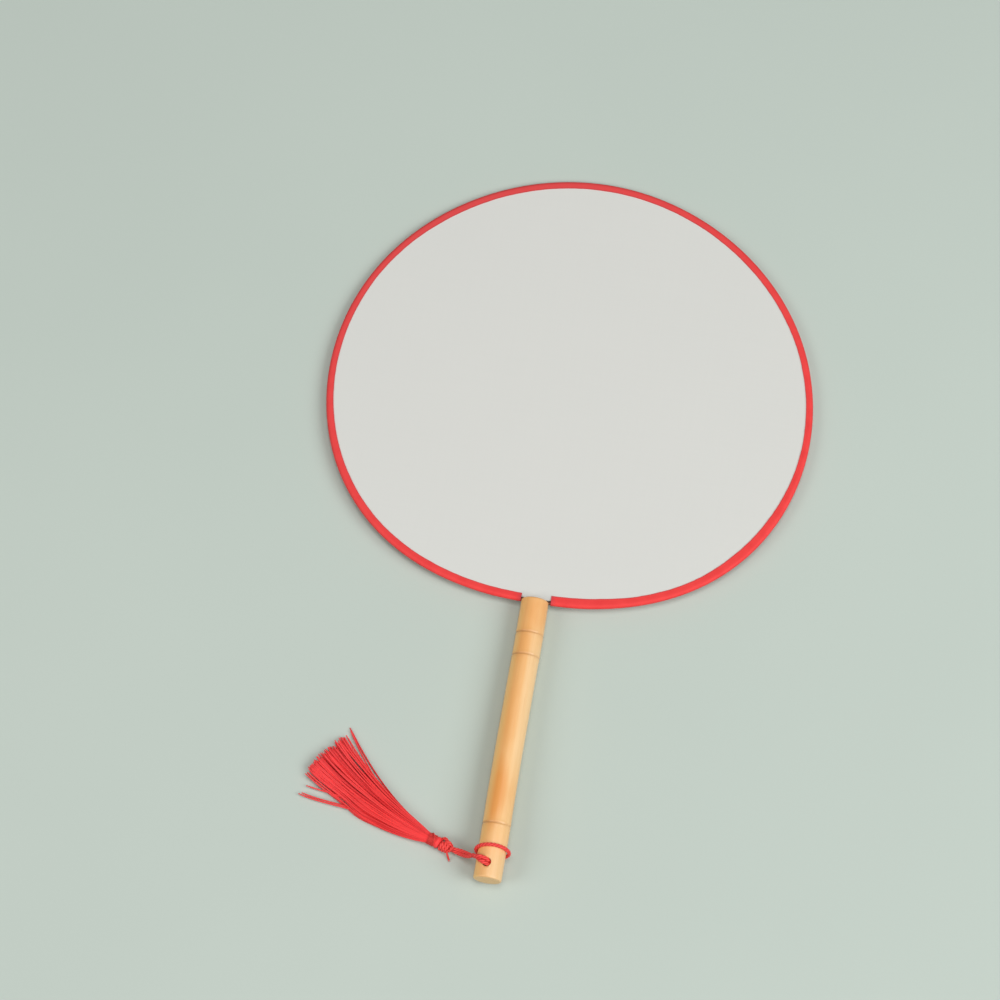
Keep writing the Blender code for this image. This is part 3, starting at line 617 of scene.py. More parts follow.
def tape_finish():
    """Red folded tape: a fine diagonal weave with painted shade in its gaps, and a painted shade that
    deepens towards the far rim.

    It is darker along its inner edge, and a painted shade darkens its cut ends.
    """
    light, dark, far_painted_shade = (0.965, 0.063, 0.060), (0.885, 0.049, 0.048), (0.685, 0.063, 0.064)
    painted_weave_shade, inner_edge, cut_end_painted_shade = (0.60, 0.03, 0.035), (0.48, 0.05, 0.055), (0.50, 0.05, 0.075)
    finish, tree, shader = new_finish("red_woven_tape", (0.85, 0.07, 0.07), 0.65, Specular_IOR_Level=0.3)
    run = coordinates(tree, "UV")
    place = coordinates(tree, "Object")
    twill = bands(tree, scaled(tree, run, (1, 1, 1), math.radians(38)), 520, "X", 0.4)
    cross = bands(tree, scaled(tree, run, (1, 1, 1), math.radians(-52)), 620, "X", 0.5)
    weave = maths(tree, "MULTIPLY", twill, cross)
    around = apart(tree, run)[0]
    base = mixed(tree, span(tree, fog(tree, place, 160, 4), 0.35, 0.7, 0, 1), light, dark)
    # A painted shade on the tape that deepens towards the far rim, where the rim faces away from the lamps.
    middle = TAPE_SHADE_DIRECTION.dot(FAN @ Vector((0, RIM_CENTRE, 0)))
    far = vector_maths(tree, "DOT_PRODUCT", place, TAPE_SHADE_DIRECTION, output="Value")
    far = maths(tree, "POWER", span(tree, far, middle - 0.1, middle + 0.115, 0, 0.9), 1.6)
    base = mixed(tree, far, base, far_painted_shade)
    # Painted shade in the gaps of the weave.
    base = mixed(tree, span(tree, weave, 0.0, 0.6, 0.22, 0.0), base, painted_weave_shade)
    base = mixed(tree, span(tree, around, 0.0002, 0.0007, 0.55, 0), base, inner_edge)
    # A painted shade at the cut ends, where the mark is set.
    colour_of(tree, shader, mixed(tree, mark_of(tree), base, cut_end_painted_shade))
    relief(tree, shader, weave, 0.00005, 0.5)
    return finish


RED_FUZZ = {
    "Specular_IOR_Level": 0.25,
    "Sheen_Weight": 0.35,
    "Sheen_Roughness": 0.5,
    "Sheen_Tint": (1.0, 0.09, 0.09, 1.0),
}


def cord_finish():
    """Soft red cord: fine fibres that run with its plies, painted shade in the grooves between them, and
    paler patches that are a painted highlight.
    """
    light, dark = (1.0, 0.092, 0.082), (0.95, 0.058, 0.053)
    paler_painted_highlight, painted_groove_shade = (1.0, 0.115, 0.10), (0.44, 0.012, 0.014)
    finish, tree, shader = new_finish("red_laid_cord", (0.8, 0.05, 0.05), 0.62, **RED_FUZZ)
    run = coordinates(tree, "UV")
    fibre = fog(tree, scaled(tree, run, (22, 260, 1)), 1.6, 3, 0.6)
    drift = fog(tree, scaled(tree, run, (2, 700, 1)), 1.0, 2)
    within = maths(tree, "FRACT", maths(tree, "MULTIPLY", apart(tree, run)[0], 3.0))
    off_groove = maths(tree, "ABSOLUTE", maths(tree, "SUBTRACT", within, 0.5))
    base = mixed(tree, span(tree, fibre, 0.35, 0.7, 0, 1), light, dark)
    # Paler patches along the cord, a painted highlight.
    base = mixed(tree, span(tree, drift, 0.35, 0.7, 0, 0.4), base, paler_painted_highlight)
    # Painted shade in the grooves between the plies.
    colour_of(tree, shader, mixed(tree, span(tree, off_groove, 0.03, 0.24, 0.65, 0), base, painted_groove_shade))
    relief(tree, shader, fibre, 0.00006, 0.7)
    return finish


def thread_finish():
    """Silky red thread, each one a little lighter or darker, with painted shade between its plies and
    painted light at its root and tip.
    """
    deep, bright, painted_ply_shade = (0.62, 0.008, 0.013), (1.0, 0.067, 0.065), (0.80, 0.014, 0.018)
    glint, painted_light_root, painted_light_tip = (1.0, 0.08, 0.075), (1.0, 0.070, 0.072), (1.0, 0.09, 0.095)
    finish, tree, shader = new_finish("red_silky_thread", (0.8, 0.05, 0.05), 0.55, **RED_FUZZ)
    run = coordinates(tree, "UV")
    ply = bands(tree, scaled(tree, run, (2.0, 900, 1)), 0.5, "DIAGONAL")
    fibre = fog(tree, scaled(tree, run, (6, 240, 1)), 1.5, 2)
    far = apart(tree, run)[1]
    base = mixed(tree, maths(tree, "POWER", mark_of(tree), 0.5), deep, bright)
    # Painted shade between the thread's plies.
    base = mixed(tree, span(tree, ply, 0, 0.7, 0.15, 0), base, painted_ply_shade)
    base = mixed(tree, span(tree, fibre, 0.4, 0.7, 0, 0.2), base, glint)
    # Painted light at the root, where the packed threads shade each other.
    base = mixed(tree, span(tree, far, 0.010, 0.026, 0.65, 0), base, painted_light_root)
    # Painted light towards the tips, against the shade between the threads.
    colour_of(tree, shader, mixed(tree, span(tree, far, 0.030, 0.062, 0, 0.5), base, painted_light_tip))
    relief(tree, shader, ply, 0.00003, 0.4)
    return finish


def wire_finish():
    """Steel wire with a dull brown skin."""
    finish, tree, shader = new_finish("browned_steel", (0.25, 0.1, 0.05), 0.45, Metallic=0.7)
    rust = fog(tree, coordinates(tree, "Object"), 700, 4)
    rusted = span(tree, rust, 0.35, 0.7, 0, 1)
    colour_of(tree, shader, mixed(tree, rusted, (0.26, 0.11, 0.06), (0.16, 0.055, 0.03)))
    roughness_of(tree, shader, span(tree, rust, 0.3, 0.7, 0.35, 0.6))
    relief(tree, shader, rust, 0.00003)
    return finish


def table_finish():
    """A plain pale grey-green table."""
    finish, tree, shader = new_finish("table_top", (0.5, 0.56, 0.52), 0.75, Specular_IOR_Level=0.2)
    place = coordinates(tree, "Object")
    drift = span(tree, fog(tree, place, 3.5, 3), 0.35, 0.7, 0, 1)
    grain = span(tree, fog(tree, place, 900, 3), 0.3, 0.7, 0, 0.15)
    base = mixed(tree, drift, (0.545, 0.612, 0.558), (0.525, 0.592, 0.54))
    colour_of(tree, shader, mixed(tree, grain, base, (0.50, 0.57, 0.52)))
    return finish


# Camera, light and table


def set_camera():
    data = bpy.data.cameras.new("photo_camera")
    data.lens_unit = "FOV"
    data.angle = CAMERA_VIEW
    camera = bpy.data.objects.new("photo_camera", data)
    bpy.context.scene.collection.objects.link(camera)
    back = Vector((0, -math.cos(CAMERA_RISE), math.sin(CAMERA_RISE)))
    over = Vector((0, math.sin(CAMERA_RISE), math.cos(CAMERA_RISE)))
    turned = Matrix((X, over, back)).transposed().to_4x4()
    camera.matrix_world = TABLE @ Matrix.Translation(back * CAMERA_REACH) @ turned
    bpy.context.scene.camera = camera


def add_lamp(name, place, size, watts, colour):
    data = bpy.data.lights.new(name, "AREA")
    data.shape = "DISK"
    data.size = size
    data.energy = watts
    data.color = colour
    lamp = bpy.data.objects.new(name, data)
    bpy.context.scene.collection.objects.link(lamp)
    start, end = TABLE @ Vector(place), TABLE @ Vector((0, 0, 0))
    turned = (start - end).to_track_quat("Z", "Y").to_matrix().to_4x4()
    lamp.matrix_world = Matrix.Translation(start) @ turned


def set_light():
    """Soft light from all round, four lamps, and a plain colour beyond the table."""
    world = bpy.data.worlds.new("studio")
    bpy.context.scene.world = world
    world.use_nodes = True
    tree = world.node_tree
    background = tree.nodes["Background"]
    background.inputs[0].default_value = WORLD_LIGHT
    background.inputs[1].default_value = WORLD_STRENGTH
    seen = add(tree, "Background", Color=BACKDROP, Strength=1.0)
    either = add(tree, "MixShader", i0=add(tree, "LightPath").outputs["Is Camera Ray"])
    tree.links.new(background.outputs[0], either.inputs[1])
    tree.links.new(seen.outputs[0], either.inputs[2])
    tree.links.new(either.outputs[0], tree.nodes["World Output"].inputs[0])
    for lamp in LAMPS:
        add_lamp(*lamp)
    bpy.context.scene.view_settings.view_transform = "Standard"


def make_table(finish):
    bm = bmesh.new()
    bmesh.ops.create_grid(bm, x_segments=2, y_segments=2, size=TABLE_HALF)
    finished(bm, "table_top", finish)


# Handle


def handle_radius(y):
    """The handle's radius with its ridges and node grooves, and the mark of a node's brown ring and of the
    painted shade band on its butt side.
    """
    radius, mark = HANDLE_RADIUS, 0.0
    for place in NODES:
        away = y - place
        radius += NODE_RIDGE * bell(away, NODE_RIDGE_WIDTH)
        radius -= (NODE_RIDGE + NODE_GROOVE) * bell(away, NODE_GROOVE_WIDTH)
        # A painted shade band on each node's butt side.
        shade = 0.25 * bell(away + NODE_SHADE_WIDTH, NODE_SHADE_WIDTH)
        mark = max(mark, bell(away, NODE_RING_WIDTH), shade)
    for corner in (y, HANDLE_LENGTH - y):
        if corner < HANDLE_ROUND:
            radius -= HANDLE_ROUND * (1 - math.sqrt(1 - (1 - corner / HANDLE_ROUND) ** 2))
    return radius, mark


def handle_stations():
    """Places along the handle, close together at its ends and nodes."""
    places = set()
    for i in range(7):
        edge = HANDLE_ROUND * (1 - math.cos(math.pi / 2 * i / 6))
        places |= {edge, HANDLE_LENGTH - edge}
    y = HANDLE_ROUND
    while y < HANDLE_REST:
        places.add(y)
        nearest = min(abs(y - place) for place in NODES)
        y += 0.00012 if nearest < 0.0012 else 0.0004 if nearest < 0.0032 else 0.0017
    return sorted(places)


def handle_aside(y):
    """How far the handle's middle lies off the straight line."""
    if y > BOW_END:
        return TOP_LEAN * math.sin(math.pi * (y - BOW_END) / (HANDLE_LENGTH - BOW_END))
    if y > BOW_START:
        return -BOW * math.sin(math.pi * (y - BOW_START) / (BOW_END - BOW_START))
    return 0.0


def make_handle(finish, wall_finish):
    cap = (0.02, 0.35, 0.7)
    rings = [(0.0, share) for share in cap]
    rings += [(y, 1.0) for y in handle_stations()]
    rings += [(HANDLE_LENGTH, share) for share in reversed(cap)]
    frames, marks, sizes = [], [], []
    for y, share in rings:
        radius, mark = handle_radius(y)
        frames.append((Vector((handle_aside(y), y, 0)), X, UP))
        marks.append(mark)
        sizes.append((radius * share, y))

    def section(k):
        radius, y = sizes[k]
        ring = []
        for j in range(HANDLE_SIDES):
            turn = math.tau * j / HANDLE_SIDES
            across, up = math.cos(turn), math.sin(turn)
            swell = radius * (1 + HANDLE_UNEVEN * rough(across * 1.4, up * 1.4, y * 55))
            ring.append((swell * across, swell * up))
        return ring

    bm = bmesh.new()
    sweep(bm, frames, section, marks=marks)
    handle = finished(bm, "bamboo_handle", finish, at=FAN)
    past_top = HANDLE_LENGTH + CUT_PAST
    slot_floor = rim_point(math.pi, RIM_ROUND)[0].y - WIRE_RADIUS - FIT_GAP
    slot_size = (SLOT_WIDTH, past_top - slot_floor, 2 * (WIRE_RADIUS + FIT_GAP))
    cut_box(handle, wall_finish, (0, slot_floor + slot_size[1] / 2, 0), slot_size)
    inside = TANG_BEND - WIRE_RADIUS
    bore_radius = TANG_SPACING / 2 + TANG_BEND - math.sqrt(inside**2 - (inside - FIT_GAP) ** 2) + FIT_GAP
    bore_floor = HANDLE_LENGTH - TANG_LENGTH - 2 * FIT_GAP
    bore_length = past_top - bore_floor
    bore = Matrix.Translation((0, bore_floor + bore_length / 2, 0)) @ Matrix.Rotation(math.pi / 2, 4, "X")
    drill(handle, wall_finish, FAN @ bore, bore_radius, bore_length)
    drill(handle, wall_finish, FAN @ HOLE, HOLE_RADIUS, HOLE_DRILL)
    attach(handle, "fan")
    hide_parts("handle")
    end_faces(handle, wall_finish)


def end_faces(handle, wall_finish):
    """The sawn ends show the fibres' ends, not the varnished skin."""
    mesh = handle.data
    number = mesh.materials.find(wall_finish.name)
    along = FAN.to_3x3() @ Y
    for face in mesh.polygons:
        if abs(face.normal.dot(along)) > 0.97:
            face.material_index = number


# Leaf and tape


def cloth_wave(x, y):
    """How far the stretched cloth lies off its plane; none at the ring."""
    reach = math.hypot(x / (LEAF_WIDTH / 2), (y - RIM_CENTRE) / (LEAF_HEIGHT / 2))
    return CLOTH_WAVE * rough(x * 22, y * 17, 3.1) * (1 - smooth(reach, 0.8, 0.96))


def make_leaf(name, side, node, finish):
    """One cloth layer, with a notch for the handle's top."""
    outline = [rim_point(math.tau * (i + 0.5) / RIM_POINTS, CLOTH_INSET)[0] for i in range(RIM_POINTS)]
    shares = [max(0.004, (i / CLOTH_RINGS) ** 0.8) for i in range(CLOTH_RINGS + 1)]
    levels = [(share, CLOTH_THICKNESS / 2) for share in shares]
    levels += [(share, -CLOTH_THICKNESS / 2) for share in reversed(shares)]
    centre = Vector((0, RIM_CENTRE, 0))

    def section(k):
        share, _ = levels[k]
        return [((p.x - centre.x) * share, (p.y - centre.y) * share) for p in outline]

    frames = [(centre + UP * (side * CLOTH_MIDDLE + lift), X, Y) for _, lift in levels]
    bm = bmesh.new()
    sweep(bm, frames, section)
    for vert in bm.verts:
        vert.co.z += cloth_wave(vert.co.x, vert.co.y)
    leaf = finished(bm, name, finish, at=FAN, sharp=50)
    notch = (2 * (HANDLE_RADIUS + FIT_GAP), HANDLE_LENGTH + FIT_GAP - RIM_FOOT + CUT_PAST, NOTCH_DEPTH)
    cut_box(leaf, finish, (0, RIM_FOOT - CUT_PAST + notch[1] / 2, side * CLOTH_MIDDLE), notch)
    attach(leaf, "fan")
    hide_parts(node)
    return leaf


def rim_angle_at(width):
    """The angle near the handle at which the outline is this far to the right."""
    low, high = math.pi * 0.75, math.pi
    for _ in range(40):
        middle = (low + high) / 2
        if rim_point(middle)[0].x > width:
            low = middle
        else:
            high = middle
    return low


def tape_width(angle):
    """How far the tape reaches in from the rim."""
    near = TAPE_NEAR_RIGHT if angle > 0 else TAPE_NEAR_LEFT
    width = TAPE_SIDE + (near - TAPE_SIDE) * smooth(abs(angle), math.radians(95), math.radians(125))
    width += TAPE_FAR_MORE * (1 - smooth(abs(angle - TAPE_FAR_AT), 0.7, 1.3))
    width -= TAPE_THIN_LESS * (1 - smooth(abs(angle - TAPE_THIN_AT), 0.12, 0.3))
    return width + 0.00009 * rough(angle * 40, 1.7, 0) + 0.00008 * rough(angle * 9, 5.7, 0)


def tape_section(width, pucker):
    """The folded tape's section: (inwards from the rim, up) pairs, outside then inside."""
    top = []
    for i in range(6):
        share = i / 5
        s = width + (RIM_ROUND - width) * share
        lift = TAPE_EDGE_LIFT + (RIM_ROUND - TAPE_EDGE_LIFT) * smooth(share, 0, 1) + pucker * (1 - share)
        top.append((s, lift))
    for i in range(1, 5):
        turn = math.pi / 2 * (1 - i / 5)
        top.append((RIM_ROUND - RIM_ROUND * math.cos(turn), RIM_ROUND * math.sin(turn)))
    outer = top + [(0.0, 0.0)] + [(s, -z) for s, z in reversed(top)]
    inner = []
    for s, z in reversed(outer):
        if s < RIM_ROUND:
            shrink = 1 - TAPE_THICKNESS / RIM_ROUND
            inner.append((RIM_ROUND - (RIM_ROUND - s) * shrink, z * shrink))
        else:
            inner.append((s, z - math.copysign(TAPE_THICKNESS, z)))
    return outer + inner


def make_tape(finish):
    right, left = rim_angle_at(TAPE_END_RIGHT), rim_angle_at(TAPE_END_LEFT)
    frames, sections, marks = [], [], []
    for i in range(TAPE_STATIONS + 1):
        angle = right - (right + left) * i / TAPE_STATIONS
        from_end = min(right - angle, left + angle)
        edge, inward = rim_point(angle, TAPE_END_INSET * (1 - smooth(from_end, 0, 0.15)))
        frames.append((edge, inward, UP))
        sections.append(tape_section(tape_width(angle), TAPE_PUCKER * rough(angle * 60, 0, 4.2)))
        # The mark carries the painted shade at the tape's cut ends.
        marks.append(0.6 * (1 - smooth(from_end, 0, 0.018)))
    girth = [0.0]
    loop = sections[0] + sections[0][:1]
    for (s, z), (t, w) in zip(loop, loop[1:]):
        girth.append(girth[-1] + math.hypot(t - s, w - z))
    bm = bmesh.new()
    sweep(bm, frames, lambda k: sections[k], girth, marks)
    return finished(bm, "folded_tape", finish, "fan", ["edge_tape"], FAN, 60)


# Cords


def laid_ring(radius, turn, points, plies):
    """The outline of a cord of laid plies, turned about its axis."""
    ply = radius * PLY_SHARE
    off = radius - ply
    ring = []
    for j in range(points):
        around = math.tau * j / points
        lean = (around + math.pi / plies) % (math.tau / plies) - math.pi / plies
        reach = off * math.cos(lean) + math.sqrt(ply * ply - (off * math.sin(lean)) ** 2)
        ring.append((reach * math.cos(around + turn), reach * math.sin(around + turn)))
    return ring


def lay_cord(bm, points, radius, up, lay=LAY_LENGTH, plies=3, sides=18, sizes=None):
    """A laid cord along points, with rounded ends; sizes are shares of its radius."""
    frames = frames_along(points, up)
    step = run_length(points) / (len(points) - 1)
    full = sizes or [1.0] * len(points)
    caps = [(reach, math.sqrt(1 - reach * reach)) for reach in CORD_ENDS]
    back = (points[0] - points[1]).normalized()
    ahead = (points[-1] - points[-2]).normalized()
    near = [(points[0] + back * radius * full[0] * r, *frames[0][1:]) for r, s in caps]
    far = [(points[-1] + ahead * radius * full[-1] * r, *frames[-1][1:]) for r, s in reversed(caps)]
    shares = [s * full[0] for r, s in caps] + list(full) + [s * full[-1] for r, s in reversed(caps)]

    def section(k):
        turn = math.tau * (k - len(near)) * step / lay
        return laid_ring(radius * shares[k], turn, sides, plies)

    sweep(bm, near + frames + far, section)


def hitch_points():
    """The cord's bight: out of the hole at the back, up the handle, round it and in again."""
    seat = HANDLE_RADIUS + FIT_GAP + STRAND_RADIUS
    crest = math.pi + HITCH_CREST
    climb = [(math.radians(turn), rise) for turn, rise in HITCH_CLIMB]
    way = list(climb)
    for i in range(23):
        around = math.radians(40 + 280 * i / 22)
        way.append((around, HITCH_RISE - HITCH_SAG * (1 - math.cos(around - crest))))
    way += [(math.tau - around, rise) for around, rise in reversed(climb)]
    ring = []
    for around, rise in way:
        aside = HITCH_ASIDE * smooth(min(around, math.tau - around), math.radians(30), math.radians(70))
        ring.append(Vector((aside - seat * math.sin(around), rise, -seat * math.cos(around))))
    first = [Vector((-x, y, -z)) for x, y, z in HITCH_IN_HOLE]
    last = [Vector((x, y, -z)) for x, y, z in reversed(HITCH_IN_HOLE)]
    return [HOLE @ p for p in first + ring + last]


def make_hitch(finish):
    route = hitch_points()
    bm = bmesh.new()
    lay_cord(bm, catmull(route, int(run_length(route) / HITCH_STEP)), HITCH_RADIUS, Y)
    return finished(bm, "hitch_cord", finish, "fan", ["hitch_loop"], FAN, 80)


def drop_points():
    """The doubled cord's middle line: up the hole, over the handle's flank, down to the knot."""
    seat = HANDLE_RADIUS + FIT_GAP + DROP_RADIUS
    across, low = DROP_START
    aside = across - MOUTH_BEND
    raised = math.sqrt((seat - MOUTH_BEND) ** 2 - aside**2)
    joins = math.atan2(-aside, raised)
    route = [Vector((across, 0, low)), Vector((across, 0, low + (raised - low) / 2))]
    for i in range(5):
        turn = (math.pi / 2 + joins) * i / 4
        lean = DROP_LEAN * joins / DROP_WRAP * (i / 4) ** 1.5
        bend = (aside + MOUTH_BEND * math.cos(turn), lean, raised + MOUTH_BEND * math.sin(turn))
        route.append(Vector(bend))
    for turn in ((joins + DROP_WRAP) / 2, DROP_WRAP):
        route.append(Vector((-math.sin(turn) * seat, DROP_LEAN * turn / DROP_WRAP, math.cos(turn) * seat)))
    route = [FAN @ HOLE @ place for place in route]
    for across, along, height in DROP_ROUTE:
        route.append(Vector((across, along + BUTT_Y, height)))
    return catmull(route + [TASSEL @ Vector((0.0004, 0, 0))], 180)


def make_drop(finish):
    """Two strands laid loosely together; runs are counted from the hole's mouth."""
    middle = drop_points()
    frames = frames_along(middle, FAN.to_3x3() @ X)
    length = run_length(middle)
    lobe = length - DROP_IN_HOLE - DROP_CROSSED
    bm = bmesh.new()
    for side in (0, math.pi):
        line, sizes = [], []
        for i, (place, across, up) in enumerate(frames):
            run = i / (len(frames) - 1) * length - DROP_IN_HOLE
            into_lobe = max(0.0, run - DROP_CROSSED) / lobe
            turn = side + math.pi / 2 * smooth(run, 0.0012, DROP_CROSSED) + math.pi * into_lobe
            at_mouth = bell(run - 0.0006, 0.0030)
            size = 0.95 + 0.27 * at_mouth + 0.20 * math.sin(math.pi * into_lobe)
            size -= 0.1 * smooth(into_lobe, 0.7, 1)
            spread = STRAND_RADIUS * (0.90 * size + 0.2 * at_mouth)
            line.append(place + (across * math.cos(turn) + up * math.sin(turn)) * spread)
            sizes.append(size)
        lay_cord(bm, line, STRAND_RADIUS, UP, sizes=sizes)
    drop = finished(bm, "doubled_cord", finish, sharp=80)
    mouth = FAN @ HOLE @ Vector((0, 0, HANDLE_RADIUS))
    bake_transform(drop)
    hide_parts("drop_cord")
    return drop, middle, length, mouth


# Tassel


def turn_place(x, radius, turn):
    """A point beside the tassel's axis; the turn is 0 to the left and a quarter upwards."""
    return Vector((x, radius * math.cos(turn), radius * math.sin(turn)))


def make_knot(finish):
    """An overhand knot of the doubled cord, drawn tight."""
    bm = bmesh.new()
    for side in (0, math.pi):
        core = [turn_place(KNOT_CORE * i / 12 - 0.0002, 0.0007, side + 0.12 * i) for i in range(13)]
        lay_cord(bm, spaced(core, 26), 0.00080, UP)
    wraps = []
    for i in range(97):
        share = i / 96
        turn = math.tau * KNOT_TURNS * share - 0.6
        inside = max(1 - smooth(share, 0, 0.06), smooth(share, 0.94, 1.0))
        along = 0.0011 + 0.0036 * share + 0.00045 * math.cos(turn + 0.5)
        wraps.append(turn_place(along, KNOT_SEAT - KNOT_TUCK * inside, turn))
    lay_cord(bm, spaced(wraps, 200), 0.00085, X)
    over = [turn_place(x, radius, turn) for x, radius, turn in OVER_STRAND]
    lay_cord(bm, catmull(over, 60), 0.00090, UP)
    eye = []
    for i in range(25):
        turn = math.radians(205) * i / 24 - 0.2
        high = math.sin(turn)
        eye.append(Vector((0.0005 - 0.0012 * high, 0.00175 * math.cos(turn), 0.0007 + 0.0013 * high)))
    lay_cord(bm, spaced(eye, 40), 0.00070, UP)
    return finished(bm, "tied_knot", finish, "tassel", ["cord_knot"], TASSEL, 80)


def make_head(finish):
    """The threads' folded top: a fluted bulge drawn in under the binding."""
    sides = 4 * HEAD_FLUTES
    line = catmull([Vector((x, radius, 0)) for x, radius in HEAD_OUTLINE], 34)

    def section(k):
        ring = []
        for j in range(sides):
            turn = math.tau * j / sides
            across, up = math.cos(turn), math.sin(turn)
            flute = 0.00010 * abs(math.sin(turn * HEAD_FLUTES / 2 + k * 0.05))
            reach = line[k].y + flute + 0.00012 * rough(across * 1.7, up * 1.7, 3.4)
            ring.append((reach * across, reach * up))
        return ring

    bm = bmesh.new()
    frames = [(Vector((HEAD_START + p.x, 0, 0)), Y, UP) for p in line]
    sweep(bm, frames, section, marks=[0.45] * len(frames))
    return finished(bm, "folded_threads", finish, "tassel", ["tassel_head"], TASSEL, 70)


def make_binding(finish):
    """Thread wound tightly round the waist, with one turn that crosses the rest."""
    bm = bmesh.new()
    seat = WAIST_RADIUS + BINDING_SEAT + BINDING_RADIUS
    steps = BINDING_TURNS * 36
    winding = []
    for i in range(steps + 1):
        share = i / steps
        turn = math.tau * BINDING_TURNS * share
        x = WAIST_START + BINDING_INSET + (WAIST_END - WAIST_START - 2 * BINDING_INSET) * share
        uneven = 0.00010 * rough(math.cos(turn), math.sin(turn), share * 3)
        winding.append(turn_place(x, seat + uneven, turn + 0.4))
    lay_cord(bm, winding, BINDING_RADIUS, X, BINDING_LAY, 2, 10)
    cross = [turn_place(0.0081 + 0.0034 * i / 30, seat + 0.00042, 1.1 + 2.6 * i / 30) for i in range(31)]
    lay_cord(bm, cross, BINDING_RADIUS * 0.9, X, BINDING_LAY, 2, 10)
    return finished(bm, "waist_binding", finish, "tassel", ["neck_binding"], TASSEL, 80)


def make_tail(finish):
    """The cord's cut end beside the knot, a little frayed."""
    bm = bmesh.new()
    low = 0.0008 - KNOT_HEIGHT
    route = (
        (0.0009, 0.0017, 0.0004),
        (0.0004, 0.0027, 0),
        (-0.0004, 0.0034, low * 0.35),
        (-0.0010, 0.0040, low * 0.85),
        (-0.0015, 0.0045, low),
    )
    tail = catmull([Vector(p) for p in route], 40)
    lay_cord(bm, tail, 0.00052, UP, 0.0026)
    rng = random.Random(5)
    end = tail[-1]
    ahead = (end - tail[-6]).normalized()
    for _ in range(7):
        spread = Vector((rng.uniform(-1, 1), rng.uniform(-1, 1), rng.uniform(0.0, 0.5))) * 0.0005
        tip = end + ahead * 0.0008 + spread
        fray = [end + spread * 0.3 - ahead * 0.0003, tip.lerp(end + ahead * 0.0004, 0.4), tip]
        lay_cord(bm, catmull(fray, 6), 0.00007, UP, 0.001, 2, 6)
    return finished(bm, "cut_tail", finish, "tassel", ["knot_tail"], TASSEL, 80)


def skirt_place(share, u, v):
    """A point of the skirt: share along it, u across and v up through it, inside the unit circle."""
    share_in = max(0.0, share)
    width = ROOT_WIDTH + (SKIRT_WIDTH - ROOT_WIDTH) * share_in**0.78
    swell = math.sin(math.pi * min(1.0, share_in * 1.15)) * SKIRT_SWELL
    height = ROOT_HEIGHT + (SKIRT_HEIGHT - ROOT_HEIGHT) * share_in + swell
    loose = smooth(share, 0, 0.3)
    edge = math.sqrt(max(0.02, 1 - u * u))
    lying = 0.0004 - KNOT_HEIGHT + height * (0.45 + 0.55 * edge) * (v / edge + 1) / 2
    aside = u * width / 2 - SKIRT_BEND * share * share_in
    strayed = aside - u * WAIST_RADIUS
    reach = math.copysign(math.sqrt(max(0.0, (SKIRT_LENGTH * share) ** 2 - strayed**2)), share)
    return Vector((WAIST_END + reach, aside, v * height / 2 * (1 - loose) + lying * loose))


def grow_thread(bm, line, radius, mark):
    """A six-sided thread, thin at its root and blunt at its tip."""
    frames = frames_along(line, UP)
    count = len(line)

    def section(k):
        size = radius * (0.54 + 0.46 * smooth(k / (count - 1), 0.0, 0.4))
        if k in (0, count - 1):
            size *= 0.6
        return [(size * math.cos(math.tau * j / 6), size * math.sin(math.tau * j / 6)) for j in range(6)]

    sweep(bm, frames, section, marks=[mark] * count)


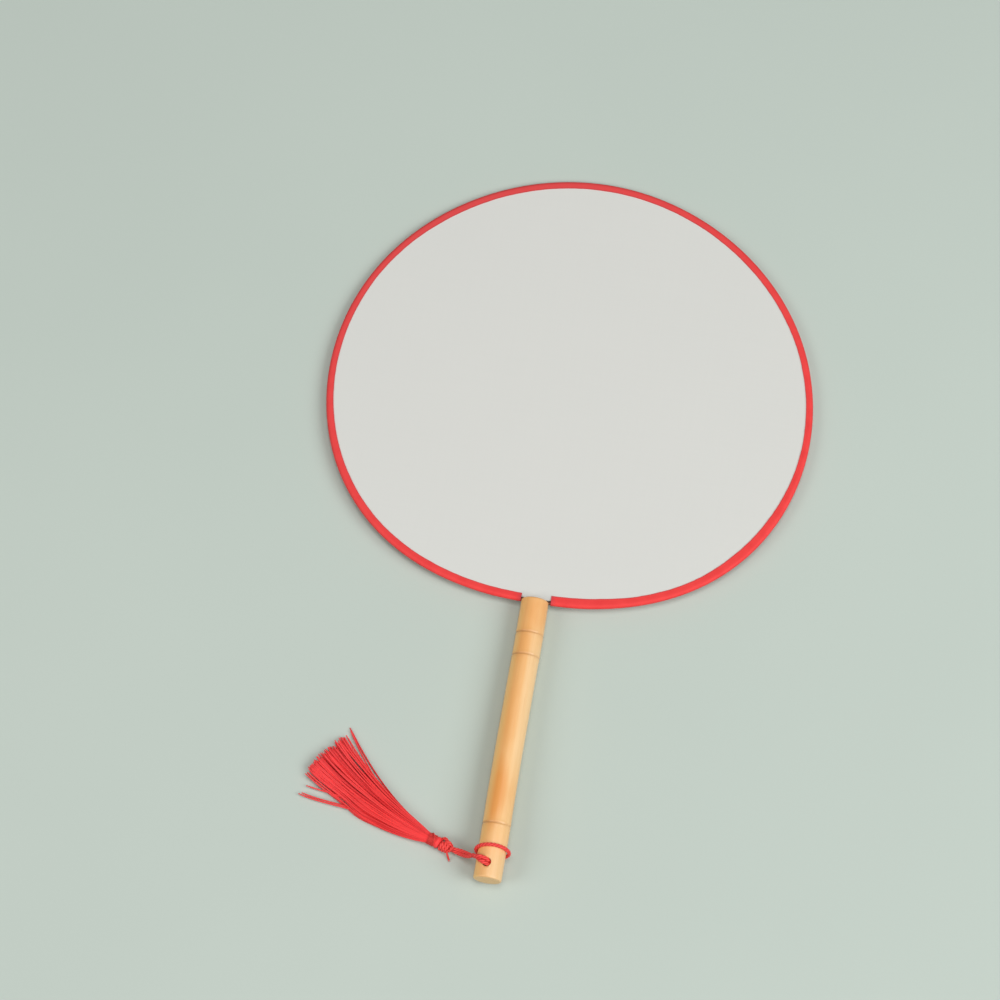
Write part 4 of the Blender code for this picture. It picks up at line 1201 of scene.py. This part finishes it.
def make_skirt(finish):
    """Loose threads that spring from under the binding and fan out over the table."""
    rng = random.Random(11)
    bm = bmesh.new()
    for i in range(THREADS):
        from_middle = math.sqrt((i + 0.5) / THREADS)
        turn = i * GOLDEN_TURN
        u, v = from_middle * math.cos(turn), from_middle * math.sin(turn)
        clump = round(u * SKIRT_CLUMPS) / SKIRT_CLUMPS
        drift = rng.uniform(-0.10, 0.10)
        longer = rng.uniform(-0.024, 0.020) - SKIRT_SHORTER * smooth(-u, -0.3, 0.5)
        phase = rng.uniform(0, 100)
        line = []
        for k in range(THREAD_STATIONS):
            share = (1 + ROOT_HIDDEN + longer) * k / (THREAD_STATIONS - 1) - ROOT_HIDDEN
            sway = rough(share * 2.2, phase, 0) * 0.10 * smooth(share, 0.05, 0.6)
            gather = SKIRT_GATHER * (clump - u) * smooth(share, 0.15, 0.9)
            lift = rough(share * 2.6, phase, 9) * 0.25 * smooth(share, 0.1, 0.7)
            dent = SKIRT_DENT * smooth(u, 0.2, 0.9) * smooth(share, 0.50, 0.70)
            across = u + drift * smooth(share, 0.1, 1.0) + sway + gather - dent
            place = skirt_place(share, max(-1.05, min(1.05, across)), max(-0.98, min(0.98, v + lift)))
            place.z = max(place.z, THREAD_LIFT)
            line.append(place)
        grow_thread(bm, line, THREAD_RADIUS * rng.uniform(0.85, 1.12), rng.random())
    return finished(bm, "thread_skirt", finish, "tassel", ["skirt"], TASSEL, 80)


def stray_threads(finish):
    """The few threads that leave the bunch."""
    bm = bmesh.new()
    for tip_x, tip_y, leaves, u, tint in STRAYS:
        end = skirt_place(1.0, u, -0.1)
        shift = Vector((tip_x - end.x, tip_y - end.y, 0))
        whole = smooth(1.0, leaves - 0.15, 1.25)
        line = []
        for k in range(THREAD_STATIONS):
            share = (1 + ROOT_HIDDEN) * k / (THREAD_STATIONS - 1) - ROOT_HIDDEN
            away = smooth(share, leaves - 0.15, 1.25)
            place = skirt_place(share, u, -0.1) + shift * (away / whole)
            place.z = max(place.z - 0.0006 * away, THREAD_LIFT)
            line.append(place)
        grow_thread(bm, line, THREAD_RADIUS, tint)
    return finished(bm, "stray_threads", finish, "tassel", [], TASSEL, 80)


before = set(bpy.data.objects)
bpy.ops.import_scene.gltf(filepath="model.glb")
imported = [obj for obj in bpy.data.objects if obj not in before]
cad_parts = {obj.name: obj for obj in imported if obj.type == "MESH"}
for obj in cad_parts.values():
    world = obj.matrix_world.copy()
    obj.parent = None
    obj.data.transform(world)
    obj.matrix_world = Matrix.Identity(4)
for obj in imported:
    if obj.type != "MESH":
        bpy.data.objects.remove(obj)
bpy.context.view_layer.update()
set_camera()
set_light()
make_table(table_finish())

cord = cord_finish()
thread = thread_finish()
make_hitch(cord)
drop, middle, drop_length, mouth = make_drop(cord)
knot = make_knot(cord)
head = make_head(thread)
binding = make_binding(cord)
tail = make_tail(cord)
make_skirt(thread)
stray_threads(thread)

end_grain = end_grain_finish()
make_handle(bamboo_finish(), end_grain)
cloth = cloth_finish()
tape = make_tape(tape_finish())
layers = (("front_cloth", 1, "leaf_front", [tape]), ("back_cloth", -1, "leaf_back", []))
for name, side, node, hem in layers:
    leaf = make_leaf(name, side, node, cloth)
wire = wire_finish()
for node, finish in (("ring_wire", wire), ("front_wedge", end_grain), ("back_wedge", end_grain)):
    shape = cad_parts[node]
    shape.data.materials.clear()
    shape.data.materials.append(finish)
